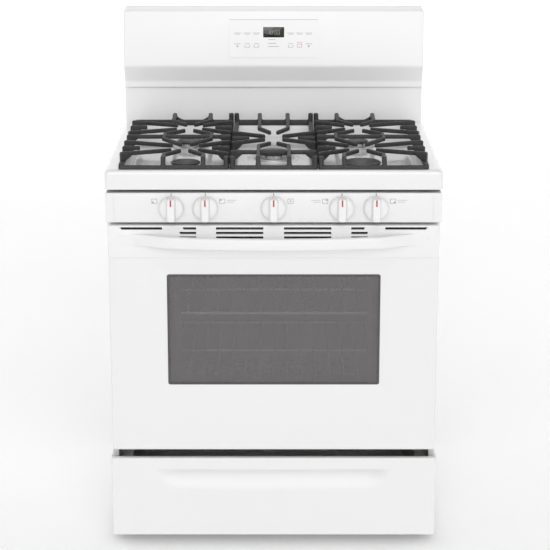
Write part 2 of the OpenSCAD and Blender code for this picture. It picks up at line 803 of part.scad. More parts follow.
// Vent slots of one row; the outer ends of the rows lean
module vent_slots(row, y0, y1) {
    z0 = slot_top_z - slot_step * row - slot_half_h;
    z1 = z0 + 2 * slot_half_h;
    both_sides() {
        block([23.5, y0, z0], [130.5, y1, z1]);
        block([175.5, y0, z0], [row == 0 ? 206.5 : 214, y1, z1]);
        if (row == 0) block([252.5, y0, z0], [349, y1, z1]);
    }
}

// Raised strip across the top of the door that carries the slots and the handle
module door_trim() color("white") difference() {
    slab(door_w, face_y - trim_t, face_y, trim_z0, door_z1);
    for (row = [0 : 2]) vent_slots(row, face_y - trim_t - 1, face_y + 1);
}

// How far the outer face of the handle stands off the door, at x from the middle
function handle_bow(x) = let (t = abs(x) / handle_half)
    handle_reach * (t < 0.6 ? 1 - 0.26 * pow(t / 0.6, 2)
                            : 0.74 * (0.5 + 0.5 * cos(180 * (t - 0.6) / 0.4)));

// Handle: a bar bowed outwards, landing on the trim at both ends
module door_handle() color("white") {
    steps = 16;
    xs = [for (i = [-steps : steps]) handle_half * i / steps];
    outer = [for (x = xs) [x, min(face_y - handle_bow(x), face_y - trim_t - 1)]];
    inner_y = face_y - trim_t;
    inner = [for (i = [len(xs) - 1 : -1 : 0])
                 [xs[i], min(face_y - handle_bow(xs[i]) + handle_t, inner_y)]];
    translate([0, 0, handle_z0]) linear_extrude(handle_z1 - handle_z0)
        polygon(concat(outer, inner));
}

// Extension spring of one hinge: close-wound turns
module hinge_spring(z0, turns, wire) {
    rotate_extrude() for (k = [0 : turns - 1])
        translate([2 * wire, z0 + k * (wire - 0.2)]) circle(d = wire, $fn = 16);
}

// Hinge channels in the door, each with its pivot pin and spring
module door_hinges() color("silver") both_sides() translate([hinge_x, 0, 0]) {
    for (x = [-7, 5]) block([x, pivot_y - 12, pivot_z - 9], [x + 2, pivot_y + 12, pivot_z + 150]);
    block([-7, pivot_y - 14, pivot_z - 9], [7, pivot_y - 12 + eps, pivot_z + 150]);
    rod([-7, pivot_y, pivot_z], [7, pivot_y, pivot_z], pin_r);
    translate([0, pivot_y - 2, 0]) hinge_spring(pivot_z + 34, 18, 1.8);
    for (z = [pivot_z + 30, pivot_z + 66]) rod([-7, pivot_y - 2, z], [7, pivot_y - 2, z], 2);
}

// Receivers behind the front frame, each with the arm that reaches into the door
module hinge_receivers() color("silver") both_sides() translate([hinge_x, 0, 0]) {
    difference() {
        union() {
            block([-arm_t / 2, pivot_y, pivot_z - 7], [arm_t / 2, body_y + 40, pivot_z + 7]);
            rod([-arm_t / 2, pivot_y, pivot_z], [arm_t / 2, pivot_y, pivot_z], 8);
        }
        rod([-10, pivot_y, pivot_z], [10, pivot_y, pivot_z], pin_r + pin_fit);
    }
    for (x = [-5, arm_t / 2]) block([x, body_y + sheet, pivot_z - 16],
                                    [x + 3, body_y + 60, pivot_z + 24]);
}

// ---- Drawer ----

// Drawer front with a finger scoop under a straight lip, open at the top behind its rim
module drawer_front() color("white") {
    y1 = face_y + drawer_front_t;
    difference() {
        slab(body_w, face_y, y1, drawer_z0, drawer_z1);
        slab(body_w - 2 * sheet, face_y + sheet, y1 + 1, drawer_z0 + sheet, drawer_z1 - sheet);
        slab(body_w - 2 * sheet, face_y + drawer_rim, y1 + 1, drawer_z1 - 2 * sheet, drawer_z1 + 1);
        rounded_plate(2 * scoop_half, scoop_z, scoop_top_z, 14, face_y - 1, face_y + sheet + 1);
    }
    difference() {
        rounded_plate(2 * scoop_half + 2 * sheet, scoop_z - sheet, scoop_top_z + sheet, 15,
                      face_y + sheet - eps, face_y + scoop_depth + sheet);
        rounded_plate(2 * scoop_half, scoop_z, scoop_top_z, 14, face_y, face_y + scoop_depth);
    }
}

// Sheet-steel drawer box with a runner along each side
module drawer_box() color("silver") {
    y0 = face_y + drawer_front_t;
    difference() {
        slab(2 * box_half, y0, box_back_y, box_z0, box_z1);
        slab(2 * box_half - 2 * sheet, y0 + sheet, box_back_y - sheet, box_z0 + sheet, box_z1 + 1);
    }
    both_sides() block([box_half - eps, y0 + 20, rail_z], [box_half + 6, box_back_y, rail_z + rail_h]);
}

// Guides on the body that the runners slide in
module drawer_guides() color("gray") both_sides() difference() {
    block([box_half + 1, body_y + 14, rail_z - 3],
          [body_w / 2 - sheet, box_back_y + 30, rail_z + rail_h + 3]);
    block([box_half, body_y + 13, rail_z - 0.5],
          [box_half + 7, box_back_y + 31, rail_z + rail_h + 0.5]);
    block([box_half + 12, body_y + 13, rail_z - 4],
          [body_w / 2 - sheet - 2, box_back_y + 31, rail_z + rail_h + 1]);
}

// ---- Racks ----

// Wire rack that lies on the pair of guides numbered k
module rack(k) color("silver") {
    z = guide_z(k) + rack_gap + rack_wire_r;
    x = rack_w / 2;
    pipe([[-x, rack_y0, z], [x, rack_y0, z], [x, rack_y1, z], [-x, rack_y1, z],
          [-x, rack_y0, z]], rack_wire_r);
    translate([-x, rack_y0, z]) sphere(r = rack_wire_r);
    middle_y = rack_y0 + 200;
    rod([-x, middle_y, z], [x, middle_y, z], rack_wire_r);
    for (i = [1 : rack_bars]) {
        bar_x = -x + 2 * x * i / (rack_bars + 1);
        rod([bar_x, rack_y0 - 1, z + rack_wire_r], [bar_x, rack_y1 + 1, z + rack_wire_r], rack_thin_r);
    }
}

base_frame();
levelling_feet();
side_panels();
rear_cover();
cover_screws();
oven_liner();
oven_bottom_plate();
oven_insulation();
oven_front_frame();
door_gasket();
oven_burners();
oven_lamp();
oven_sensor();
flue_duct();
cooktop();
burner_heads();
igniters();
gas_manifold();
burner_valves();
burner_tubes();
pressure_regulator();
control_panel();
backguard_shell();
backguard_rear();
control_overlay();
display_window();
control_electronics();
power_inlet();
hinge_receivers();
drawer_guides();
for (i = [0 : 4]) {
    valve_stem(i);
    knob(i);
    burner_cap(i);
}
door_outer_panel();
door_window();
door_inner_glass();
door_liner();
door_insulation();
door_trim();
door_handle();
door_hinges();
drawer_front();
drawer_box();
rack(upper_rack_guide);  // rack_upper
rack(lower_rack_guide);  // rack_lower
grate_left();
grate_centre();
grate_right();
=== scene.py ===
"""Looks of the freestanding gas range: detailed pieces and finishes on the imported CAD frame.

Lengths are in millimetres until a mesh is made, in the CAD's frame: X to the right, -Y to the
front, Z up, origin on the floor. Sizes of whole parts are read from the frame's boxes.
"""
import math

import bmesh
import bpy
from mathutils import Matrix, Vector


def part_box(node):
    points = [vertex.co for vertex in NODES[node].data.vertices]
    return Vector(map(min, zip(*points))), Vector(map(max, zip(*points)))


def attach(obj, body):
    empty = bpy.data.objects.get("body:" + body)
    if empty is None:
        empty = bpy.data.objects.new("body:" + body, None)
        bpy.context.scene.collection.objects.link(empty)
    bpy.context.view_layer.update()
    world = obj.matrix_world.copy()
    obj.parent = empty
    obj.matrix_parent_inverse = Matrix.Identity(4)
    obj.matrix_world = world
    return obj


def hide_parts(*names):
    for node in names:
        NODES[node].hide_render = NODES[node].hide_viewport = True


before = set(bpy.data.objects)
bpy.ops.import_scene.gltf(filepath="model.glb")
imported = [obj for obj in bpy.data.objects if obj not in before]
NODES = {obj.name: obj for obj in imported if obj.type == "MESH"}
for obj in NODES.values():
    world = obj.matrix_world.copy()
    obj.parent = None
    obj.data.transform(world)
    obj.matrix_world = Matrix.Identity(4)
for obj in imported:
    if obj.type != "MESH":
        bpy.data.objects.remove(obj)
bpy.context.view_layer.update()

MM = 0.001


def box(node):
    """Lowest and highest corner of a CAD node in millimetres."""
    low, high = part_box(node)
    return Vector(low) / MM, Vector(high) / MM


def middle(node):
    low, high = box(node)
    return (low + high) / 2


# ---- Finishes ----

# name: (colour, metallic, roughness low and high, tone variation, tone scale)
LOOKS = {
    "white_paint": ((0.795, 0.793, 0.793), 0.0, (0.29, 0.32), 0.003, 5),
    "white_enamel": ((0.800, 0.798, 0.798), 0.0, (0.11, 0.13), 0.003, 5),
    "white_plastic": ((0.805, 0.803, 0.803), 0.0, (0.33, 0.36), 0.003, 9),
    "cast_iron": ((0.022, 0.022, 0.024), 0.0, (0.42, 0.62), 0.30, 90),
    "black_enamel": ((0.020, 0.020, 0.021), 0.0, (0.32, 0.46), 0.20, 60),
    "aluminium": ((0.62, 0.62, 0.63), 1.0, (0.34, 0.50), 0.08, 55),
    "galvanised_steel": ((0.56, 0.57, 0.58), 1.0, (0.34, 0.52), 0.05, 22),
    "steel": ((0.55, 0.55, 0.56), 1.0, (0.24, 0.40), 0.06, 40),
    "brass": ((0.68, 0.49, 0.23), 1.0, (0.24, 0.42), 0.12, 70),
    "chrome_wire": ((0.90, 0.90, 0.91), 0.35, (0.22, 0.30), 0.03, 60),
    "oven_enamel": ((0.055, 0.056, 0.060), 0.0, (0.20, 0.32), 0.12, 30),
    "dark_paint": ((0.030, 0.030, 0.032), 0.0, (0.40, 0.56), 0.16, 40),
    "black_plastic": ((0.022, 0.022, 0.023), 0.0, (0.38, 0.52), 0.14, 60),
    "circuit_plastic": ((0.020, 0.085, 0.045), 0.0, (0.36, 0.52), 0.25, 120),
    "glass_fibre": ((0.62, 0.52, 0.28), 0.0, (0.80, 0.95), 0.22, 60),
    "braided_seal": ((0.085, 0.083, 0.080), 0.0, (0.60, 0.80), 0.30, 150),
    "ceramic": ((0.72, 0.69, 0.62), 0.0, (0.35, 0.50), 0.05, 80),
    "printed_film": ((0.800, 0.801, 0.800), 0.0, (0.30, 0.36), 0.004, 12),
    "ink": ((0.30, 0.30, 0.31), 0.0, (0.40, 0.50), 0.10, 200),
    "soft_ink": ((0.34, 0.34, 0.35), 0.0, (0.40, 0.50), 0.05, 200),
    "pink_ink": ((0.60, 0.30, 0.34), 0.0, (0.40, 0.50), 0.06, 200),
    "red_ink": ((0.48, 0.05, 0.06), 0.0, (0.36, 0.46), 0.10, 200),
    "glass_print": ((0.075, 0.072, 0.073), 0.0, (0.10, 0.16), 0.05, 40),
    "digit_glow": ((0.16, 0.21, 0.14), 0.0, (0.30, 0.40), 0.15, 90),
    "display_glass": ((0.012, 0.014, 0.012), 0.0, (0.06, 0.12), 0.15, 30),
    "clear_glass": ((0.60, 0.62, 0.61), 0.0, (0.03, 0.06), 0.04, 12),
    "tinted_glass": ((0.192, 0.182, 0.185), 0.0, (0.05, 0.08), 0.03, 10),
}
# name: list of (texture, scale, strength, depth in mm, stretch along X, Y, Z)
GRAIN = {
    "white_paint": [("noise", 480, 0.06, 0.06, (1, 1, 1))],
    "white_enamel": [("noise", 300, 0.06, 0.08, (1, 1, 1))],
    "white_plastic": [("noise", 1500, 0.10, 0.05, (1, 1, 1))],
    "cast_iron": [("noise", 700, 0.55, 0.35, (1, 1, 1)), ("voronoi", 420, 0.25, 0.3, (1, 1, 1))],
    "black_enamel": [("noise", 900, 0.20, 0.12, (1, 1, 1))],
    "aluminium": [("noise", 600, 0.30, 0.15, (1, 1, 1))],
    "galvanised_steel": [("noise", 240, 0.10, 0.10, (1, 1, 1))],
    "steel": [("noise", 900, 0.20, 0.05, (1, 0.04, 1))],
    "brass": [("noise", 700, 0.15, 0.06, (1, 0.1, 1))],
    "chrome_wire": [("noise", 500, 0.06, 0.05, (1, 1, 1))],
    "oven_enamel": [("noise", 320, 0.12, 0.12, (1, 1, 1))],
    "dark_paint": [("noise", 600, 0.25, 0.12, (1, 1, 1))],
    "black_plastic": [("noise", 1400, 0.25, 0.08, (1, 1, 1))],
    "circuit_plastic": [("voronoi", 160, 0.40, 0.5, (1, 1, 1))],
    "glass_fibre": [("noise", 240, 0.9, 1.5, (0.15, 1, 1)), ("noise", 500, 0.6, 0.8, (1, 1, 0.2))],
    "braided_seal": [("wave", 320, 0.9, 0.8, (1, 1, 1)), ("noise", 900, 0.4, 0.3, (1, 1, 1))],
    "ceramic": [("noise", 800, 0.20, 0.10, (1, 1, 1))],
    "printed_film": [("noise", 1800, 0.05, 0.03, (1, 1, 1))],
    "ink": [("noise", 2000, 0.05, 0.02, (1, 1, 1))],
    "soft_ink": [("noise", 2000, 0.05, 0.02, (1, 1, 1))],
    "pink_ink": [("noise", 2000, 0.05, 0.02, (1, 1, 1))],
    "red_ink": [("noise", 2000, 0.05, 0.02, (1, 1, 1))],
    "glass_print": [("noise", 1500, 0.03, 0.02, (1, 1, 1))],
    "digit_glow": [("noise", 2000, 0.05, 0.02, (1, 1, 1))],
    "display_glass": [("noise", 300, 0.02, 0.03, (1, 1, 1))],
    "clear_glass": [("noise", 9, 0.01, 0.05, (1, 1, 1))],
    "tinted_glass": [("noise", 9, 0.01, 0.05, (1, 1, 1))],
}
# name: (colour of the specks, cells per metre, size of a speck as a share of a cell)
SPECKS = {
    "oven_enamel": ((0.34, 0.35, 0.37), 260, 0.20),
    "cast_iron": ((0.060, 0.060, 0.062), 800, 0.22),
    "black_enamel": ((0.070, 0.070, 0.072), 620, 0.12),
    "circuit_plastic": ((0.45, 0.42, 0.30), 150, 0.18),
}
# name: how much light the glass stops
OPACITY = {"clear_glass": 0.08, "tinted_glass": 0.48}
COATED = {"white_enamel": 0.5, "white_paint": 0.15, "oven_enamel": 0.4, "tinted_glass": 0.3}
SPANGLE_CELLS = 120
SPANGLE_DARK, SPANGLE_LIGHT = (0.53, 0.54, 0.55), (0.61, 0.62, 0.63)


class Builder:
    """Adds and links the nodes of one material."""

    def __init__(self, name):
        self.material = bpy.data.materials.new("look_" + name)
        self.material.use_nodes = True
        self.tree = self.material.node_tree
        self.shader = self.tree.nodes["Principled BSDF"]
        self.coords = self.add("ShaderNodeTexCoord").outputs["Object"]

    def add(self, kind, **settings):
        node = self.tree.nodes.new(kind)
        for key, value in settings.items():
            setattr(node, key, value)
        return node

    def link(self, source, target):
        self.tree.links.new(source, target)

    def texture(self, kind, scale, stretch=(1, 1, 1)):
        """The grey output of a noise, voronoi or wave texture in object coordinates."""
        mapping = self.add("ShaderNodeMapping")
        mapping.inputs["Scale"].default_value = stretch
        self.link(self.coords, mapping.inputs["Vector"])
        maker = {"noise": "ShaderNodeTexNoise", "voronoi": "ShaderNodeTexVoronoi",
                 "wave": "ShaderNodeTexWave"}[kind]
        node = self.add(maker)
        node.inputs["Scale"].default_value = scale
        if kind == "noise":
            node.inputs["Detail"].default_value = 3
        if kind == "wave":
            node.wave_type = "BANDS"
            node.bands_direction = "DIAGONAL"
        self.link(mapping.outputs["Vector"], node.inputs["Vector"])
        return node.outputs["Distance" if kind == "voronoi" else "Fac"]

    def spread(self, source, low, high):
        """source stretched so that its middle half covers low to high."""
        node = self.add("ShaderNodeMapRange")
        node.inputs["From Min"].default_value = 0.3
        node.inputs["From Max"].default_value = 0.7
        node.inputs["To Min"].default_value = low
        node.inputs["To Max"].default_value = high
        self.link(source, node.inputs["Value"])
        return node.outputs["Result"]

    def blend(self, share, first, second):
        """first where share is 0, second where it is 1; each a colour or a socket."""
        node = self.add("ShaderNodeMix", data_type="RGBA")
        self.link(share, node.inputs["Factor"])
        for key, value in (("A", first), ("B", second)):
            socket = next(s for s in node.inputs if s.name == key and s.type == "RGBA")
            if isinstance(value, tuple):
                socket.default_value = (*value, 1)
            else:
                self.link(value, socket)
        return next(s for s in node.outputs if s.type == "RGBA")


def finish(name):
    """Procedural material for one entry of LOOKS."""
    colour, metallic, rough, tone, tone_scale = LOOKS[name]
    make = Builder(name)
    shader = make.shader
    dark = tuple(c * (1 - tone) for c in colour)
    light = tuple(min(1, c * (1 + tone)) for c in colour)
    patches = make.spread(make.texture("noise", tone_scale), 0, 1)
    base = make.blend(patches, dark, light)
    if name == "galvanised_steel":
        spangle = make.add("ShaderNodeTexVoronoi")
        spangle.inputs["Scale"].default_value = SPANGLE_CELLS
        make.link(make.coords, spangle.inputs["Vector"])
        grey = make.add("ShaderNodeRGBToBW")
        make.link(spangle.outputs["Color"], grey.inputs["Color"])
        base = make.blend(make.spread(grey.outputs["Val"], 0, 1), SPANGLE_DARK, SPANGLE_LIGHT)
        make.link(make.spread(grey.outputs["Val"], *rough), shader.inputs["Roughness"])
    else:
        grain = make.texture("noise", tone_scale * 2.7)
        make.link(make.spread(grain, *rough), shader.inputs["Roughness"])
    if name in SPECKS:
        speck, cells, size = SPECKS[name]
        near = make.add("ShaderNodeMath", operation="LESS_THAN")
        make.link(make.texture("voronoi", cells), near.inputs[0])
        near.inputs[1].default_value = size
        base = make.blend(near.outputs["Value"], base, speck)
    make.link(base, shader.inputs["Base Color"])
    shader.inputs["Metallic"].default_value = metallic
    if name in COATED:
        shader.inputs["Coat Weight"].default_value = COATED[name]
        shader.inputs["Coat Roughness"].default_value = 0.08
    if name in OPACITY:
        shader.inputs["Alpha"].default_value = OPACITY[name]
    if name == "digit_glow":
        make.link(base, shader.inputs["Emission Color"])
        shader.inputs["Emission Strength"].default_value = 0.35
    normal = None
    for kind, scale, strength, depth, stretch in GRAIN[name]:
        bump = make.add("ShaderNodeBump")
        bump.inputs["Strength"].default_value = strength
        bump.inputs["Distance"].default_value = depth * MM
        make.link(make.texture(kind, scale, stretch), bump.inputs["Height"])
        if normal:
            make.link(normal, bump.inputs["Normal"])
        normal = bump.outputs["Normal"]
    make.link(normal, shader.inputs["Normal"])
    return make.material


FINISH = {name: finish(name) for name in LOOKS}


# ---- Mesh tools ----

def smooth(mesh, angle=35):
    """Smooth shading with edges sharper than angle kept."""
    mesh.shade_smooth()
    mesh.set_sharp_from_angle(angle=math.radians(angle))


def raw_object(name, verts, faces):
    mesh = bpy.data.meshes.new(name)
    mesh.from_pydata([Vector(v) * MM for v in verts], [], faces)
    mesh.update()
    work = bmesh.new()
    work.from_mesh(mesh)
    bmesh.ops.remove_doubles(work, verts=work.verts, dist=0.01 * MM)
    bmesh.ops.recalc_face_normals(work, faces=work.faces)
    work.to_mesh(mesh)
    work.free()
    thing = bpy.data.objects.new(name, mesh)
    bpy.context.scene.collection.objects.link(thing)
    return thing


def joined(name, things):
    """One object from the raw meshes of several, which are deleted."""
    work = bmesh.new()
    for thing in things:
        work.from_mesh(thing.data)
        bpy.data.objects.remove(thing)
    mesh = bpy.data.meshes.new(name)
    work.to_mesh(mesh)
    work.free()
    result = bpy.data.objects.new(name, mesh)
    bpy.context.scene.collection.objects.link(result)
    return result


def applied(thing):
    """Replaces the object's mesh by its mesh with all modifiers done."""
    graph = bpy.context.evaluated_depsgraph_get()
    mesh = bpy.data.meshes.new_from_object(thing.evaluated_get(graph))
    thing.modifiers.clear()
    thing.data = mesh
    return thing


def modifier(thing, kind, **settings):
    added = thing.modifiers.new(kind.lower(), kind)
    for key, value in settings.items():
        setattr(added, key, value)
    return thing


def bevelled(thing, width, segments=2, angle=30):
    return modifier(thing, "BEVEL", width=width * MM, segments=segments,
                    limit_method="ANGLE", angle_limit=math.radians(angle))


def piece(thing, look, body, replaced=(), angle=35):
    """Gives a mesh its finish and its body, and hides the CAD nodes it stands for."""
    smooth(thing.data, angle)
    thing.data.materials.clear()
    thing.data.materials.append(FINISH[look])
    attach(thing, body)
    if replaced:
        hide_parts(*replaced)
    return thing


def loft(name, rings, first_cap=False, last_cap=False, closed=False):
    """Skin over rings that all have the same number of points. closed joins last to first."""
    verts = [point for ring in rings for point in ring]
    size = len(rings[0])
    faces = []
    for k in range(len(rings) if closed else len(rings) - 1):
        low, high = k * size, (k + 1) % len(rings) * size
        for i in range(size):
            j = (i + 1) % size
            faces.append((low + i, low + j, high + j, high + i))
    if first_cap:
        faces.append(tuple(range(size))[::-1])
    if last_cap:
        faces.append(tuple(range(len(verts) - size, len(verts))))
    return raw_object(name, verts, faces)


def lathe(name, profile, centre, turns=64):
    """Profile of (radius, height) turned about the upright axis through centre."""
    rings = [[(centre[0] + r * math.cos(2 * math.pi * k / turns),
               centre[1] + r * math.sin(2 * math.pi * k / turns), centre[2] + h)
              for k in range(turns)] for r, h in profile]
    return loft(name, rings, True, True)


def outline(half_a, half_b, radius, centre=(0, 0), corner=6, steps=1):
    """Points round a rounded rectangle, steps along each straight side."""
    radius = min(radius, half_a, half_b)
    arcs = []
    for quarter, (sa, sb) in enumerate(((1, -1), (1, 1), (-1, 1), (-1, -1))):
        arc = []
        for k in range(corner + 1):
            turn = math.radians(90 * (quarter - 1 + k / corner))
            arc.append((centre[0] + sa * (half_a - radius) + radius * math.cos(turn),
                        centre[1] + sb * (half_b - radius) + radius * math.sin(turn)))
        arcs.append(arc)
    points = []
    for k, arc in enumerate(arcs):
        points += arc
        start, end = arc[-1], arcs[(k + 1) % 4][0]
        points += [(start[0] + (end[0] - start[0]) * i / steps,
                    start[1] + (end[1] - start[1]) * i / steps) for i in range(1, steps)]
    return points


def upright(points, y):
    """Outline points placed as X and Z in the plane at y."""
    return [(a, y, b) for a, b in points]


def level(points, z):
    return [(a, b, z) for a, b in points]


def pan(name, x0, x1, z0, z1, front, back, roll=3, corner=3):
    """Folded sheet panel facing -Y: walls back from a face with rolled edges."""
    centre = ((x0 + x1) / 2, (z0 + z1) / 2)
    half_x, half_z = (x1 - x0) / 2, (z1 - z0) / 2
    rings = [upright(outline(half_x, half_z, corner, centre), back)]
    for step in range(6):
        turn = math.radians(90 * step / 5)
        inset, sunk = roll * (1 - math.cos(turn)), roll * (1 - math.sin(turn))
        rings.append(upright(outline(half_x - inset, half_z - inset, max(corner - inset, 0.3),
                                     centre), front + sunk))
    return loft(name, rings, last_cap=True, first_cap=True)


def smoothstep(value):
    value = min(1, max(0, value))
    return value * value * (3 - 2 * value)


# ---- Cooktop ----

top_low, top_high = box("cooktop")
RIM_Z = top_high.z
PANEL_Y = top_low.y
BASIN_HALF = 345
BASIN_Y = (PANEL_Y + 42, PANEL_Y + 534)
BASIN_DEPTH = 24
BASIN_FLOOR = RIM_Z - BASIN_DEPTH
BASIN_CURVE = 25
BEAD_GAP, BEAD_W, BEAD_H = 15, 5, 2.4
BURNERS = ["front_left", "rear_left", "centre", "rear_right", "front_right"]
CAPS = {where: box("burner_cap_" + where) for where in BURNERS}


def bead_height(x, y):
    """Height of the pressed ring round each burner, at a point of the basin floor."""
    height = 0
    for low, high in CAPS.values():
        far = math.hypot(x - (low.x + high.x) / 2, y - (low.y + high.y) / 2)
        ring = (high.x - low.x) / 2 + BEAD_GAP
        height += BEAD_H * math.exp(-((far - ring) / BEAD_W) ** 2)
    return height


def cooktop():
    """Enamelled top in one skin: rolled rim, basin wall and basin floor with pressed rings."""
    centre = (0, (top_low.y + top_high.y) / 2)
    half_x, half_y = top_high.x, (top_high.y - top_low.y) / 2
    basin_centre = (0, sum(BASIN_Y) / 2)
    basin_y = (BASIN_Y[1] - BASIN_Y[0]) / 2
    roll = 9
    detail = dict(corner=8, steps=44)
    rings = [level(outline(half_x - 2, half_y - 2, 8, centre, **detail), top_low.z),
             level(outline(half_x, half_y, 9, centre, **detail), top_low.z + 0.5)]
    for step in range(7):
        turn = math.radians(90 * step / 6)
        inset = roll * (1 - math.cos(turn))
        rings.append(level(outline(half_x - inset, half_y - inset, 10, centre, **detail),
                           RIM_Z - roll * (1 - math.sin(turn))))
    wall = [(6, 0), (3, 0), (0.5, 0.5), (-2, 2.2), (-4.5, 5.2), (-15.5, 18.8), (-18, 21.8),
            (-21, 23.5), (-BASIN_CURVE, BASIN_DEPTH)]
    for outset, drop in wall:
        rings.append(level(outline(BASIN_HALF + outset, basin_y + outset, 30 + outset,
                                   basin_centre, **detail), RIM_Z - drop))
    loops = 70
    for loop in range(1, loops):
        share = 1 - loop / loops
        flat = outline((BASIN_HALF - BASIN_CURVE) * share, (basin_y - BASIN_CURVE) * share,
                       5 * share, basin_centre, **detail)
        rings.append([(x, y, BASIN_FLOOR + bead_height(x, y)) for x, y in flat])
    piece(loft("cooktop_top", rings, last_cap=True), "white_enamel", "cabinet", ["cooktop"], 60)


def burners():
    """Domed cap of each burner and the aluminium flare it stands in."""
    for where, (low, high) in CAPS.items():
        radius = (high.x - low.x) / 2
        spot = ((low.x + high.x) / 2, (low.y + high.y) / 2, 0)
        top = high.z
        dome = [(radius - 15, low.z + 0.2), (radius - 15, top - 6.4), (radius - 1.2, top - 6.4),
                (radius - 0.3, top - 5.9), (radius, top - 5.0), (radius, top - 3.4),
                (radius - 0.6, top - 2.2), (radius - 2, top - 1.4), (radius - 4.5, top - 0.9),
                (radius - 6, top - 1.3), (radius - 7.5, top - 0.9), (radius * 0.5, top - 0.3),
                (radius * 0.25, top - 0.05), (0.2, top)]
        piece(lathe("cap_" + where, dome, spot, 72), "black_enamel", "cap_" + where,
              ["burner_cap_" + where])
        skirt = [(radius - 6, BASIN_FLOOR + 0.2), (radius + 5, BASIN_FLOOR + 0.2),
                 (radius + 4.4, BASIN_FLOOR + 2.0), (radius + 1.5, BASIN_FLOOR + 4.5),
                 (radius - 2.2, BASIN_FLOOR + 6.0), (radius - 6, BASIN_FLOOR + 6.2)]
        piece(lathe("burner_flare_" + where, skirt, spot, 72), "aluminium", "cabinet")


# ---- Grates ----

GRATE_Z0, GRATE_TOP = box("grate_left")[0].z, box("grate_left")[1].z
GRATE_Y = (box("grate_left")[0].y, box("grate_left")[1].y)
BAR_W, BAR_TOP, FRONT_BAR_TOP = 12, 927, 923
FINGER_W, FINGER_H, FOOT_REACH = 9, 9.5, 22


def bar(start, end, z0, z1, width, narrow=0.9):
    """Cast bar in plan from start to end with a narrower top and rounded ends."""
    along = Vector((end[0] - start[0], end[1] - start[1], 0)).normalized()
    side = Vector((-along.y, along.x, 0))
    rings = []
    for z, share in ((z0, 0.94), (z0 + 0.8, 1.0), (z1 - 1.4, narrow), (z1 - 0.3, narrow * 0.92),
                     (z1, narrow * 0.8)):
        half = width / 2 * share
        ring = []
        for base, heading in ((start, 1), (end, -1)):
            for k in range(7):
                turn = math.radians(90 + 30 * k) if heading == 1 else math.radians(-90 + 30 * k)
                offset = along * (half * math.cos(turn)) + side * (half * math.sin(turn))
                ring.append((base[0] + offset.x, base[1] + offset.y, z))
        rings.append(ring)
    return loft("bar", rings, True, True)


def fingers(points):
    """Raised bars along a path in plan."""
    return [bar(a, b, GRATE_TOP - FINGER_H, GRATE_TOP, FINGER_W)
            for a, b in zip(points, points[1:])]


def slab_xz(outline_xz, y0, y1):
    """Plate cut to an outline in X and Z, from y0 to y1."""
    return loft("web", [[(x, y0, z) for x, z in outline_xz], [(x, y1, z) for x, z in outline_xz]],
                True, True)


def horn(x, y, web=0, width=FINGER_W):
    """Post over the frame bar at (x, y). web is the way its curved gusset faces along the bar."""
    half = width / 2
    made = [bar((x, y - 1.5), (x, y + 1.5), GRATE_Z0 + 0.6, GRATE_TOP, width, 1.0)]
    if web:
        reach, rise = 24, (GRATE_TOP - BAR_TOP) * 0.66
        curve = [(x + web * (half - 1 + reach * k / 8), BAR_TOP - 1 + rise * (1 - k / 8) ** 1.7)
                 for k in range(9)]
        foot_line = [(x + web * (half - 1 + reach), BAR_TOP - 4), (x, BAR_TOP - 4),
                     (x, BAR_TOP + rise)]
        made.append(slab_xz(curve + foot_line, y - 4, y + 4))
    return made


def foot(start, toward):
    """Gusset that carries a finger down to the bar at start; toward is the next point of it."""
    begin = Vector(start)
    along = (Vector(toward) - begin).normalized()
    side = Vector((-along.y, along.x)) * (FINGER_W + 1.5) / 2
    rise = GRATE_TOP - FINGER_H - BAR_TOP + 4
    shape = [(-BAR_W / 2 + 0.6, GRATE_Z0 + 0.6), (4, GRATE_Z0 + 0.6)]
    shape += [(5 + (FOOT_REACH - 5) * k / 8, BAR_TOP - 3 + rise * (k / 8) ** 1.5)
              for k in range(9)]
    shape += [(FOOT_REACH, GRATE_TOP - 1.5), (-BAR_W / 2 + 2.4, GRATE_TOP - 0.2),
              (-BAR_W / 2 + 0.6, GRATE_TOP - 2.2)]
    rings = []
    for hand in (-1, 1):
        edge = begin + side * hand
        rings.append([(edge.x + along.x * s, edge.y + along.y * s, z) for s, z in shape])
    return [loft("foot", rings, True, True)]


def limb(points):
    """Finger along points with a foot where it starts, on the frame."""
    return fingers(points) + foot(points[0], points[1])


def grate_frame(x0, x1):
    """Low bars round a grate whose outer edges are x0 and x1."""
    half = BAR_W / 2
    corners = [(x0 + half, GRATE_Y[0] + half), (x1 - half, GRATE_Y[0] + half),
               (x1 - half, GRATE_Y[1] - half), (x0 + half, GRATE_Y[1] - half)]
    front = bar(corners[0], corners[1], GRATE_Z0, FRONT_BAR_TOP, BAR_W - 1, 0.86)
    return [front] + [bar(corners[k], corners[(k + 1) % 4], GRATE_Z0, BAR_TOP, BAR_W, 0.86)
                      for k in (1, 2, 3)]


def cast(name, things, body, replaced):
    """Melts the bars of a grate into one casting with soft edges."""
    grate = joined(name, things)
    modifier(grate, "REMESH", mode="VOXEL", voxel_size=1.6 * MM)
    modifier(grate, "SMOOTH", factor=0.5, iterations=2)
    modifier(grate, "DECIMATE", ratio=0.45)
    piece(applied(grate), "cast_iron", body, replaced, 60)


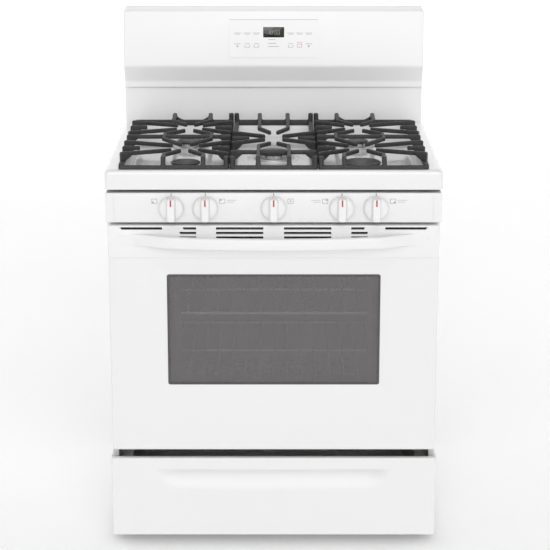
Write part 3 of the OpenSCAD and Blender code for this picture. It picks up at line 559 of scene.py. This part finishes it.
def side_grate(side, name, body, node):
    """Grate over two burners. side is -1 for the left one and 1 for the right one."""
    low, high = box(node)
    outer = side * max(abs(low.x), abs(high.x)) - side * BAR_W / 2
    inner = side * min(abs(low.x), abs(high.x)) + side * BAR_W / 2
    hand = "left" if side < 0 else "right"
    front, rear = middle("burner_cap_front_" + hand), middle("burner_cap_rear_" + hand)
    middle_y = PANEL_Y + 262
    front_edge, rear_edge = GRATE_Y[0] + BAR_W / 2, GRATE_Y[1] - BAR_W / 2
    made = grate_frame(low.x, high.x)
    for burner, edge, turn in ((front, front_edge, 1), (rear, rear_edge, -1)):
        for hand_x in (-1, 1):
            x = burner.x + hand_x * 45
            made += limb([(x, edge), (x, burner.y - turn * 80),
                          (burner.x + hand_x * 12, burner.y - turn * 34)])
            made += horn(x, edge, -hand_x if turn < 0 else 0)
            side_x = inner if (hand_x < 0) == (side > 0) else outer
            inward = 1 if side_x < burner.x else -1
            for arm in (-1, 1):
                made += limb([(side_x, burner.y + arm * 68),
                              (burner.x - inward * 34, burner.y + arm * 27)])
            made += limb([(side_x, burner.y), (side_x + inward * 32, burner.y)])
    made += limb([(inner, middle_y), (outer, middle_y)])
    made += foot((outer, middle_y), (inner, middle_y))
    for hand_x in (-1, 1):
        near_x, far_x = front.x + hand_x * 13, front.x + hand_x * 56
        made += fingers([(near_x, rear.y - 44), (far_x, middle_y + 28),
                         (far_x, middle_y - 28), (near_x, front.y + 40)])
    for corner_y in (front_edge, rear_edge):
        made += horn(inner, corner_y, width=BAR_W)
    cast(name, made, body, [node])


def centre_grate():
    """Grate over the one middle burner."""
    low, high = box("grate_centre")
    side_x = high.x - BAR_W / 2
    burner = middle("burner_cap_centre")
    cross_y = PANEL_Y + 80
    made = grate_frame(low.x, high.x)
    front_y, rear_y = GRATE_Y[0] + BAR_W / 2, GRATE_Y[1] - BAR_W / 2
    for hand in (-1, 1):
        near_x, tip_x = hand * 35, hand * 10
        made += limb([(near_x, front_y), (near_x, burner.y - 98), (tip_x, burner.y - 66)])
        made += limb([(near_x, rear_y), (near_x, burner.y + 118), (tip_x, burner.y + 66)])
        for arm in (-1, 1):
            made += limb([(hand * side_x, burner.y + arm * 62), (hand * 24, burner.y + arm * 20)])
        made += limb([(hand * side_x, burner.y), (hand * (side_x - 32), burner.y)])
        made += foot((hand * side_x, cross_y), (0, cross_y))
        made += horn(hand * side_x, front_y, width=BAR_W)
        made += horn(hand * side_x, rear_y, width=BAR_W)
    made += fingers([(-side_x, cross_y), (side_x, cross_y)])
    cast("middle_grate_casting", made, "middle_grate", ["grate_centre"])


# ---- Controls ----

def control_panel():
    """Folded panel with a fine seam where each end cap starts."""
    low, high = box("control_panel")
    end_w, seam, seam_depth = 19, 0.7, 1.2
    face = pan("control_face", low.x, high.x, low.z, high.z, low.y, high.y)
    seams = [slab_xz([(x - seam / 2, low.z - 1), (x + seam / 2, low.z - 1),
                      (x + seam / 2, high.z + 1), (x - seam / 2, high.z + 1)],
                     low.y - 1, low.y + seam_depth) for x in (low.x + end_w, high.x - end_w)]
    cut(face, joined("seams", seams))
    piece(face, "white_paint", "cabinet", ["control_panel"])


POINTER_PROUD = 0.6


def knob(where):
    """Skirt with a domed edge and an upright grip bar, melted together, and its red pointer."""
    node = "knob_" + where
    low, high = box(node)
    centre = (low + high) / 2
    radius = (high.x - low.x) / 2
    back, front = high.y, low.y
    skirt = [(radius - 3, 0), (radius, 0), (radius, 2.5), (radius - 0.8, 5), (radius - 3, 7.5),
             (radius - 6, 9.3), (radius - 12, 10.6), (0.3, 11.2)]
    turns = 64
    rings = [[(centre.x + r * math.cos(2 * math.pi * k / turns), back - h,
               centre.z + r * math.sin(2 * math.pi * k / turns)) for k in range(turns)]
             for r, h in skirt]
    disc = loft("disc", rings, True, True)
    rings = []
    grip_shape = ((2, 11.0, 27.4), (9, 10.6, 27.6), (16, 9.8, 27.4), (23, 9.0, 26.8),
                  (26.2, 8.4, 26.2), (27.8, 7.2, 25.0), (28.4, 5.4, 23.2))
    for depth, half_x, half_z in grip_shape:
        reach = min(depth, back - front) - POINTER_PROUD * depth / (back - front)
        ring = outline(half_x, half_z, half_x * 0.55, (centre.x, centre.z), 6, 8)
        rings.append(upright(ring, back - reach))
    grip = loft("grip", rings, True, True)
    body = joined("knob_body_" + where, [disc, grip])
    modifier(body, "REMESH", mode="VOXEL", voxel_size=0.55 * MM)
    modifier(body, "SMOOTH", factor=0.5, iterations=5)
    modifier(body, "DECIMATE", ratio=0.25)
    piece(applied(body), "white_plastic", "control_" + where, [node], 60)
    mark = pan("pointer_" + where, centre.x - 1.7, centre.x + 1.7, centre.z + 10, centre.z + 25,
               front + 0.02, front + 3, 0.3, 0.6)
    piece(mark, "red_ink", "control_" + where)


def flat_marks(boxes):
    """Thin raised print on the control panel from (x0, x1, z0, z1) boxes."""
    face = box("control_panel")[0].y
    return [pan("print", x0, x1, z0, z1, face - 0.12, face + 0.3, 0.05, 0.2)
            for x0, x1, z0, z1 in boxes]


def panel_marks():
    """Sign beside each knob: a frame with one dot for its burner, most with two plain strokes."""
    sides = {"front_left": -1, "rear_left": 1, "centre": 1, "rear_right": -1, "front_right": 1}
    dots = {"front_left": (-1, -1), "rear_left": (-1, 1), "centre": (0, 0), "rear_right": (1, 1),
            "front_right": (1, -1)}
    half_w, half_h, line, dot = 6.5, 5.5, 1.1, 1.6
    bars, spots, ticks = [], [], []
    for where, side in sides.items():
        centre = middle("knob_" + where)
        x, z = centre.x + side * 38, centre.z + 16
        x0, x1, z0, z1 = x - half_w, x + half_w, z - half_h, z + half_h
        bars += [(x0, x1, z1 - line, z1), (x0, x1, z0, z0 + line),
                 (x0, x0 + line, z0, z1), (x1 - line, x1, z0, z1)]
        if where in ("rear_left", "rear_right", "front_right"):
            start = x + side * 10
            for up, length in ((2.2, 22), (-2.2, 17)):
                ends = sorted((start, start + side * length))
                bars.append((ends[0], ends[1], z + up - 0.5, z + up + 0.5))
        spot_x, spot_z = x + dots[where][0] * 3.2, z + dots[where][1] * 2.4
        spots.append((spot_x - dot, spot_x + dot, spot_z - dot, spot_z + dot))
        ticks.append((centre.x - 1.1, centre.x + 1.1, centre.z + 28.6, centre.z + 34))
    piece(joined("burner_sign_frames", flat_marks(bars)), "soft_ink", "cabinet")
    piece(joined("burner_sign_dots", flat_marks(spots + ticks)), "ink", "cabinet")


# ---- Backguard and its display ----

HOOD_LEAN = math.atan(14 / 140)
SHELL_LOW, SHELL_HIGH = box("backguard_shell")
HOOD_FOOT = (SHELL_LOW.y, 1060)
OVERLAY_Z = 1130
OVERLAY_HALF_W, OVERLAY_HALF_H, OVERLAY_T = 112.5, 48, 1.2
DISPLAY_HALF_H, DISPLAY_UP = 13, 16


def on_hood(x, up, out):
    """Point on the leaning hood face: x across, up from the overlay's middle, out of the face."""
    foot_y = HOOD_FOOT[0] + (OVERLAY_Z - HOOD_FOOT[1]) * math.tan(HOOD_LEAN)
    return (x, foot_y + up * math.sin(HOOD_LEAN) - out * math.cos(HOOD_LEAN),
            OVERLAY_Z + up * math.cos(HOOD_LEAN) + out * math.sin(HOOD_LEAN))


def rounded_path(points, radius):
    """Closed outline with each corner replaced by an arc-like curve."""
    result = []
    count, steps = len(points), 5
    for k in range(count):
        here = Vector(points[k])
        before, after = Vector(points[k - 1]), Vector(points[(k + 1) % count])
        cut = min(radius, (before - here).length * 0.45, (after - here).length * 0.45)
        start = here + (before - here).normalized() * cut
        end = here + (after - here).normalized() * cut
        for i in range(steps + 1):
            t = i / steps
            result.append(tuple((1 - t) ** 2 * start + 2 * t * (1 - t) * here + t ** 2 * end))
    return result


def backguard():
    """Folded hood: its side profile carried across, with the ends rolled in."""
    back, low_z = SHELL_HIGH.y, SHELL_LOW.z
    guard_y = top_high.y
    profile = [(guard_y, low_z), (guard_y, 1003), (guard_y - 9, 1003), (guard_y - 9, 1020),
               HOOD_FOOT, (HOOD_FOOT[0] + 14, SHELL_HIGH.z), (back, SHELL_HIGH.z), (back, low_z)]
    curve = rounded_path(profile, 5)
    centre = Vector((sum(p[0] for p in curve) / len(curve), sum(p[1] for p in curve) / len(curve)))
    roll, half = 4, SHELL_HIGH.x
    rings = []
    for side in (-1, 1):
        steps = range(6) if side < 0 else range(5, -1, -1)
        for step in steps:
            turn = math.radians(90 * step / 5)
            inset, sunk = roll * (1 - math.sin(turn)), roll * (1 - math.cos(turn))
            ring = []
            for y, z in curve:
                y_in = y + inset * (1 if y < centre[0] else -1)
                z_in = z + inset * (1 if z < low_z + 2 else (-1 if z > SHELL_HIGH.z - 4 else 0))
                ring.append((side * (half - sunk), min(max(y_in, SHELL_LOW.y), back), z_in))
            rings.append(ring)
    shell = loft("backguard_hood", rings, True, True)
    piece(shell, "white_paint", "cabinet", ["backguard_shell"], 50)


def on_overlay(name, boxes, out, look):
    """Thin printed or raised shapes on the overlay from (x0, x1, up0, up1) boxes."""
    made = []
    for x0, x1, up0, up1 in boxes:
        flat = outline((x1 - x0) / 2, (up1 - up0) / 2, min(0.8, (x1 - x0) / 3, (up1 - up0) / 3),
                       ((x0 + x1) / 2, (up0 + up1) / 2), 3)
        made.append(loft("print", [[on_hood(a, b, 0) for a, b in flat],
                                   [on_hood(a, b, out) for a, b in flat]], True, True))
    piece(joined(name, made), look, "cabinet")


def overlay_plate():
    """Film plate with rounded corners and a softened edge."""
    half_w, half_h, plate = OVERLAY_HALF_W, OVERLAY_HALF_H, OVERLAY_T
    rings = [[on_hood(a, b, 0) for a, b in outline(half_w, half_h, 5)],
             [on_hood(a, b, plate - 0.4) for a, b in outline(half_w, half_h, 5)],
             [on_hood(a, b, plate) for a, b in outline(half_w - 0.5, half_h - 0.5, 4.5)]]
    piece(loft("overlay_film", rings, True, True), "printed_film", "cabinet", ["control_overlay"])


SEGMENTS = {"0": "abcdef", "1": "bc", "2": "abdeg", "3": "abcdg", "4": "bcfg", "5": "acdfg",
            "6": "acdefg", "7": "abc", "8": "abcdefg", "9": "abcdfg"}


def digit(value, x, up, width, height, line):
    """Boxes of a seven-segment digit whose lower left corner is at x, up."""
    mid = up + height / 2
    places = {
        "a": (x, x + width, up + height - line, up + height), "d": (x, x + width, up, up + line),
        "g": (x, x + width, mid - line / 2, mid + line / 2),
        "f": (x, x + line, mid, up + height), "b": (x + width - line, x + width, mid, up + height),
        "e": (x, x + line, up, mid), "c": (x + width - line, x + width, up, mid),
    }
    return [places[key] for key in SEGMENTS[value]]


def display():
    """Dark glass with the time in seven-segment digits."""
    half_w, half_h, up = box("display_window")[1].x, DISPLAY_HALF_H, DISPLAY_UP
    glass = outline(half_w, half_h, 1.0, (0, up))
    rings = [[on_hood(a, b, 0.2) for a, b in glass], [on_hood(a, b, 1.35) for a, b in glass],
             [on_hood(a, b, 1.6) for a, b in outline(half_w - 0.4, half_h - 0.4, 0.8, (0, up))]]
    piece(loft("display_glass_face", rings, True, True), "display_glass", "cabinet",
          ["display_window"])
    boxes = []
    for place, value in enumerate("1000"):
        boxes += digit(value, (-15.5, -8, 2.5, 10)[place], up - 5.5, 5.2, 11, 1.0)
    boxes += [(-0.9, 0.3, up + 1.6, up + 2.8), (-0.9, 0.3, up - 2.8, up - 1.6)]
    on_overlay("clock_digits", boxes, 1.72, "digit_glow")


def overlay_keys():
    """Two rows of touch-pad signs made of short plain strokes, and the line along the top."""
    columns = (-91, -66.5, -43.5, 43, 65, 88)
    upper, lower, pink = [], [], []
    for k, x in enumerate(columns):
        upper += [(x - 9, x + 9, 13.4, 14.6), (x - 6, x + 6, 10.4, 11.4)]
        if k in (0, 5):
            lower += [(x - 8, x + 8, -13.6, -12.4), (x - 2, x + 2, -21, -16.5)]
        elif k == 4:
            pink += [(x - 7, x + 7, -10.6, -9.4), (x - 6, x - 4.8, -22, -13.4),
                     (x + 4.8, x + 6, -22, -13.4), (x - 6, x + 6, -22, -20.8),
                     (x - 6, x + 6, -14.6, -13.4)]
        else:
            lower += [(x - 6, x + 6, -13.4, -12.2), (x - 6.5, x - 5.4, -22, -15.6),
                      (x + 5.4, x + 6.5, -22, -15.6), (x - 6.5, x + 6.5, -22, -20.9)]
    lines = [(-13.5, 4.5, -2.9, -1.7), (-13.5, 6.5, -12.2, -10.8), (-13.5, 13.5, -20.2, -18.8)]
    on_overlay("overlay_signs", upper + lower + lines, 1.3, "soft_ink")
    on_overlay("overlay_clear_sign", pink, 1.3, "pink_ink")
    on_overlay("overlay_top_line", [(-112, 112, 47.2, 48)], 1.34, "soft_ink")


# ---- Door ----

FACE_Y = box("door_outer_panel")[0].y
TRIM_LOW, TRIM_HIGH = box("door_trim")
SLOT_ROWS = (780, 769.4, 758.8)
SLOT_H = 5.8
PANE_HALF_X, PANE_HALF_Z = 243.5, 132
HINGE_X, HINGE_SLOT_W, HINGE_SLOT_H = 340, 8, 31


def slot_cutters(y0, y1):
    """Prisms of the vent slots; the ends that face the sides of the door slant."""
    made = []
    for row, z in enumerate(SLOT_ROWS):
        spans = [(23.5, 130.5, 0), (175.5, 206.5 if row == 0 else 214, 2.5)]
        if row == 0:
            spans.append((252.5, 349, 5))
        for x0, x1, slant in spans:
            for side in (-1, 1):
                shape = [(side * x0, z - SLOT_H / 2), (side * (x1 - slant), z - SLOT_H / 2),
                         (side * x1, z + SLOT_H / 2), (side * x0, z + SLOT_H / 2)]
                made.append(slab_xz(shape, y0, y1))
    return made


def hinge_slot_cutters():
    """Prisms of the slots in the lower inner edge that the hinge arms pass through."""
    low, high = box("door_outer_panel")
    made = []
    for side in (-1, 1):
        x0, x1 = side * HINGE_X - HINGE_SLOT_W / 2, side * HINGE_X + HINGE_SLOT_W / 2
        z0, z1 = low.z - 1, low.z + HINGE_SLOT_H
        made.append(slab_xz([(x0, z0), (x1, z0), (x1, z1), (x0, z1)], FACE_Y + 13, high.y + 1))
    return made


def cut(thing, cutter):
    modifier(thing, "BOOLEAN", operation="DIFFERENCE", solver="EXACT", object=cutter)
    applied(thing)
    bpy.data.objects.remove(cutter)
    return thing


def door_skin():
    """Folded skin with rolled edges round the face and round the window opening."""
    low, high = box("door_outer_panel")
    centre = (0, (low.z + high.z) / 2)
    half_x, half_z = high.x, (high.z - low.z) / 2
    window = middle("door_window")
    pane = (window.x, window.z)
    pane_x, pane_z = PANE_HALF_X, PANE_HALF_Z
    sheet, roll = 1, 5
    detail = dict(corner=6, steps=4)
    rings = []
    back = high.y - 8
    for step in range(8):
        turn = math.radians(90 * (step - 1) / 6) if step else 0
        inset, sunk = roll * (1 - math.cos(turn)), roll * (1 - math.sin(turn))
        y = back if step == 0 else FACE_Y + sunk
        ring = outline(half_x - inset, half_z - inset, 6 - inset * 0.8, centre, **detail)
        rings.append(upright(ring, y))
    rings.append(upright(outline(pane_x + 2.2, pane_z + 2.2, 7, pane, **detail), FACE_Y))
    for inset, sunk in ((1.1, 0.25), (0.3, 0.9), (0, 2)):
        ring = outline(pane_x + inset, pane_z + inset, 5 + inset, pane, **detail)
        rings.append(upright(ring, FACE_Y + sunk))
    inner = FACE_Y + 0.9 + sheet + 1
    rings.append(upright(outline(pane_x, pane_z, 5, pane, **detail), inner))
    rings.append(upright(outline(pane_x + 2.4, pane_z + 2.4, 7, pane, **detail), inner))
    ring = outline(half_x - 2 * roll, half_z - 2 * roll, 4, centre, **detail)
    rings.append(upright(ring, FACE_Y + 2.9))
    ring = outline(half_x - sheet, half_z - sheet, 5, centre, **detail)
    rings += [upright(ring, FACE_Y + roll + 2), upright(ring, back)]
    skin = loft("door_skin", rings, closed=True)
    slots = slot_cutters(FACE_Y - 3, FACE_Y + 6) + hinge_slot_cutters()
    cut(skin, joined("skin_cutter", slots))
    piece(skin, "white_paint", "door", ["door_outer_panel"])


def window_border():
    """Dark printed band round the edge of the window glass."""
    glass = box("door_window")[0].y
    centre = middle("door_window")
    pane = (centre.x, centre.z)
    rings = []
    for half_x, half_z, y in ((246, 134.5, glass - 0.02), (246, 134.5, glass - 0.25),
                              (238.5, 127, glass - 0.25), (238.5, 127, glass - 0.02)):
        rings.append(upright(outline(half_x, half_z, 6, pane), y))
    piece(loft("window_border", rings, closed=True), "glass_print", "door")


def window_channel():
    """Sheet channel between the panes that keeps the blanket out of sight."""
    centre = middle("door_window")
    pane = (centre.x, centre.z)
    front, back = box("door_window")[1].y + 0.3, box("door_inner_glass")[0].y - 0.3
    rings = []
    for half_x, half_z, y in ((256, 146, front), (256, 146, back),
                              (250, 140, back), (250, 140, front)):
        rings.append(upright(outline(half_x, half_z, 8, pane), y))
    piece(loft("window_channel", rings, closed=True), "dark_paint", "door")


def door_trim():
    """Slotted strip across the top of the door."""
    trim = pan("door_vent_trim", TRIM_LOW.x, TRIM_HIGH.x, TRIM_LOW.z, TRIM_HIGH.z, TRIM_LOW.y,
               TRIM_HIGH.y, 2.4, 4)
    cut(trim, joined("trim_cutter", slot_cutters(TRIM_LOW.y - 3, TRIM_HIGH.y + 3)))
    bevelled(trim, 0.35, 2, 50)
    piece(applied(trim), "white_plastic", "door", ["door_trim"])


def handle():
    """Bowed grip that grows out of the trim at both ends."""
    low, high = box("door_handle")
    half = high.x
    reach = FACE_Y - low.y
    rings = []
    stations = 96
    for k in range(stations + 1):
        x = -half + 2 * half * k / stations
        t = abs(x) / half
        if t < 0.6:
            bow = reach * (1 - 0.26 * (t / 0.6) ** 2)
        else:
            bow = reach * 0.74 * (0.5 + 0.5 * math.cos(math.pi * (t - 0.6) / 0.4))
        outer = min(FACE_Y - bow, TRIM_LOW.y - 0.4)
        inner = min(outer + 15, TRIM_LOW.y + 1)
        depth = inner - outer
        z_mid, half_z = (low.z + high.z) / 2, (high.z - low.z) / 2
        ring = []
        for i in range(28):
            turn = 2 * math.pi * i / 28
            ca, sa = math.cos(turn), math.sin(turn)
            across = math.copysign(abs(ca) ** 0.62, ca)
            tall = math.copysign(abs(sa) ** 0.55, sa)
            ring.append((x, (outer + inner) / 2 - across * depth / 2, z_mid + tall * half_z))
        rings.append(ring)
    piece(loft("handle_grip", rings, True, True), "white_plastic", "door", ["door_handle"], 50)


# ---- Drawer ----

def drawer():
    """Drawer face with rolled edges and the finger scoop under its straight lip."""
    low, high = box("drawer_front")
    roll = 4
    half = high.x
    scoop_half, scoop_top, depth, end_w = 280, 197, 18.5, 60
    top_fold = 12
    edge = [roll * (1 - math.cos(math.radians(15 * k))) for k in range(7)]
    xs = [-half + inset for inset in edge]
    inner = [x for x in range(-360, 361, 8) if abs(abs(x) - scoop_half) > 20]
    fine = [side * (scoop_half + d) for side in (-1, 1) for d in range(-20, 21, 2)]
    xs = sorted(set(round(x, 3) for x in xs + inner + fine + [half - inset for inset in edge]))
    zs = [low.z + inset for inset in edge] + [high.z - inset for inset in edge]
    zs += [z for z in range(44, 130, 10)] + [130 + 2 * k for k in range(31)]
    zs += [scoop_top + d for d in (-2.6, -1.8, -1.2, -0.8, -0.4, 0, 0.5, 1.1, 2)]
    zs += [z for z in range(200, 220, 5)]
    zs = sorted(set(round(z, 3) for z in zs))

    def sunk_edge(value, limit):
        gap = min(roll, abs(limit - value))
        return roll - math.sqrt(max(0, roll * roll - (roll - gap) ** 2))

    def scoop(x, z):
        inside = min(1, max(0, (scoop_half - abs(x)) / end_w))
        if inside == 0:
            return 0
        round_end = math.sqrt(1 - (1 - inside) ** 2)
        floor = scoop_top - (scoop_top - 146 - 10 * (x / scoop_half) ** 4) * round_end
        ends = smoothstep(inside)
        if z >= scoop_top + 0.6 or z < floor - 12:
            return 0
        lip = smoothstep((scoop_top + 0.6 - z) / 2.4)
        share = (scoop_top - z) / (scoop_top - floor + 10 * round_end)
        sweep = (1 - min(1, max(0, (share - 0.12) / 0.88))) ** 2
        return depth * ends * lip * sweep

    verts, faces = [], []
    for z in zs:
        for x in xs:
            side = sunk_edge(x, half if x > 0 else -half)
            top = sunk_edge(z, high.z if z > 130 else low.z)
            verts.append((x, low.y + max(side, top) + scoop(x, z), z))
    wide = len(xs)
    for r in range(len(zs) - 1):
        for c in range(wide - 1):
            corner = r * wide + c
            faces.append((corner, corner + 1, corner + wide + 1, corner + wide))
    rim = list(range(wide)) + [r * wide + wide - 1 for r in range(1, len(zs))]
    rim += [(len(zs) - 1) * wide + c for c in range(wide - 2, -1, -1)]
    rim += [r * wide for r in range(len(zs) - 2, 0, -1)]
    start = len(verts)
    top_row = set(range((len(zs) - 1) * wide, len(zs) * wide))
    for index in rim:
        x, _, z = verts[index]
        verts.append((x, low.y + top_fold if index in top_row else high.y, z))
    for k in range(len(rim)):
        n = (k + 1) % len(rim)
        faces.append((rim[k], start + k, start + n, rim[n]))
    piece(raw_object("drawer_face", verts, faces), "white_paint", "drawer", ["drawer_front"], 50)


# ---- Carried-over CAD nodes ----

BEVELS = {"side_panels": 0.4, "rear_cover": 0.3, "backguard_rear": 0.3, "levelling_feet": 0.6,
          "door_liner": 0.3, "oven_front_frame": 0.3, "oven_bottom_plate": 0.3, "power_inlet": 0.4,
          "pressure_regulator": 0.8, "base_frame": 0.5, "drawer_box": 0.3, "burner_valves": 0.4}


def carried_over():
    """Finishes, smooth shading and fine bevels for the CAD nodes that stay in view."""
    for name, node in NODES.items():
        for slot in node.material_slots:
            slot.material = FINISH[slot.material.name.split(".")[0]]
        smooth(node.data, 35)
        if name in BEVELS:
            bevelled(node, BEVELS[name], 2, 40)


# ---- Stage, light and camera ----

def stage():
    """Floor that curves up behind the range and at both sides, open to the front."""
    step = 500
    xs, ys = range(-12000, 12001, step), range(-14000, 9001, step)
    flat_x, flat_y, bend = 7000, 4500, 2000
    verts = []
    for y in ys:
        for x in xs:
            out = math.hypot(max(0, abs(x) - flat_x), max(0, y - flat_y))
            verts.append((x, y, out * out / bend))
    wide = len(xs)
    faces = [(r * wide + c, r * wide + c + 1, (r + 1) * wide + c + 1, (r + 1) * wide + c)
             for r in range(len(ys) - 1) for c in range(wide - 1)]
    floor = raw_object("studio_floor", verts, faces)
    smooth(floor.data, 40)
    make = Builder("studio_floor")
    patches = make.spread(make.texture("noise", 1.5), 0, 1)
    pale = make.blend(patches, (0.93, 0.93, 0.93), (0.95, 0.95, 0.95))
    make.link(pale, make.shader.inputs["Base Color"])
    make.shader.inputs["Roughness"].default_value = 0.9
    make.shader.inputs["Emission Color"].default_value = (1, 1, 1, 1)
    make.shader.inputs["Emission Strength"].default_value = 0.18
    floor.data.materials.append(make.material)


def sun(name, azimuth, elevation, strength, softness):
    """Soft far light from azimuth (0 is the front, positive to the right) and elevation."""
    data = bpy.data.lights.new(name, "SUN")
    data.energy = strength
    data.angle = math.radians(softness)
    a, e = math.radians(azimuth), math.radians(elevation)
    place = Vector((math.sin(a) * math.cos(e), -math.cos(a) * math.cos(e), math.sin(e)))
    lamp = bpy.data.objects.new(name, data)
    lamp.location = place * 5
    lamp.rotation_euler = (-place).to_track_quat("-Z", "Y").to_euler()
    bpy.context.scene.collection.objects.link(lamp)


def upper_spot():
    """Soft spot over the cooktop, so that the wall under the hood isn't in its shade."""
    data = bpy.data.lights.new("upper_spot", "SPOT")
    data.energy = 8.5
    data.spot_size = math.radians(70)
    data.spot_blend = 1
    data.shadow_soft_size = 0.35
    lamp = bpy.data.objects.new("upper_spot", data)
    lamp.location = (0, -0.75, 1.75)
    target = Vector((0, 0.26, 0.98))
    lamp.rotation_euler = (target - lamp.location).to_track_quat("-Z", "Y").to_euler()
    bpy.context.scene.collection.objects.link(lamp)


def lights():
    """Even pale surroundings with two large soft sources and one over the cooktop."""
    world = bpy.data.worlds.new("studio")
    world.use_nodes = True
    sky = world.node_tree.nodes["Background"]
    sky.inputs["Color"].default_value = (1, 1, 1, 1)
    sky.inputs["Strength"].default_value = 0.35
    bpy.context.scene.world = world
    sun("top_softbox", -20, 62, 0.36, 70)
    sun("front_softbox", 6, 12, 1.42, 50)
    upper_spot()
    bpy.context.scene.view_settings.view_transform = "Standard"


def camera():
    """Long lens from the front, looking slightly down."""
    data = bpy.data.cameras.new("camera")
    data.sensor_width = 36
    data.lens = 120.13
    data.shift_x, data.shift_y = 0.0024, -0.06
    data.clip_end = 100
    eye = bpy.data.objects.new("camera", data)
    eye.location = (0, -4.330, 1.786)
    eye.rotation_euler = (math.radians(90 - 14.45), 0, 0)
    bpy.context.scene.collection.objects.link(eye)
    bpy.context.scene.camera = eye


camera()
lights()
stage()
carried_over()
cooktop()
burners()
side_grate(-1, "left_grate_casting", "left_grate", "grate_left")
side_grate(1, "right_grate_casting", "right_grate", "grate_right")
centre_grate()
control_panel()
panel_marks()
for burner_name in BURNERS:
    knob(burner_name)
backguard()
overlay_plate()
display()
overlay_keys()
door_skin()
window_border()
window_channel()
door_trim()
handle()
drawer()
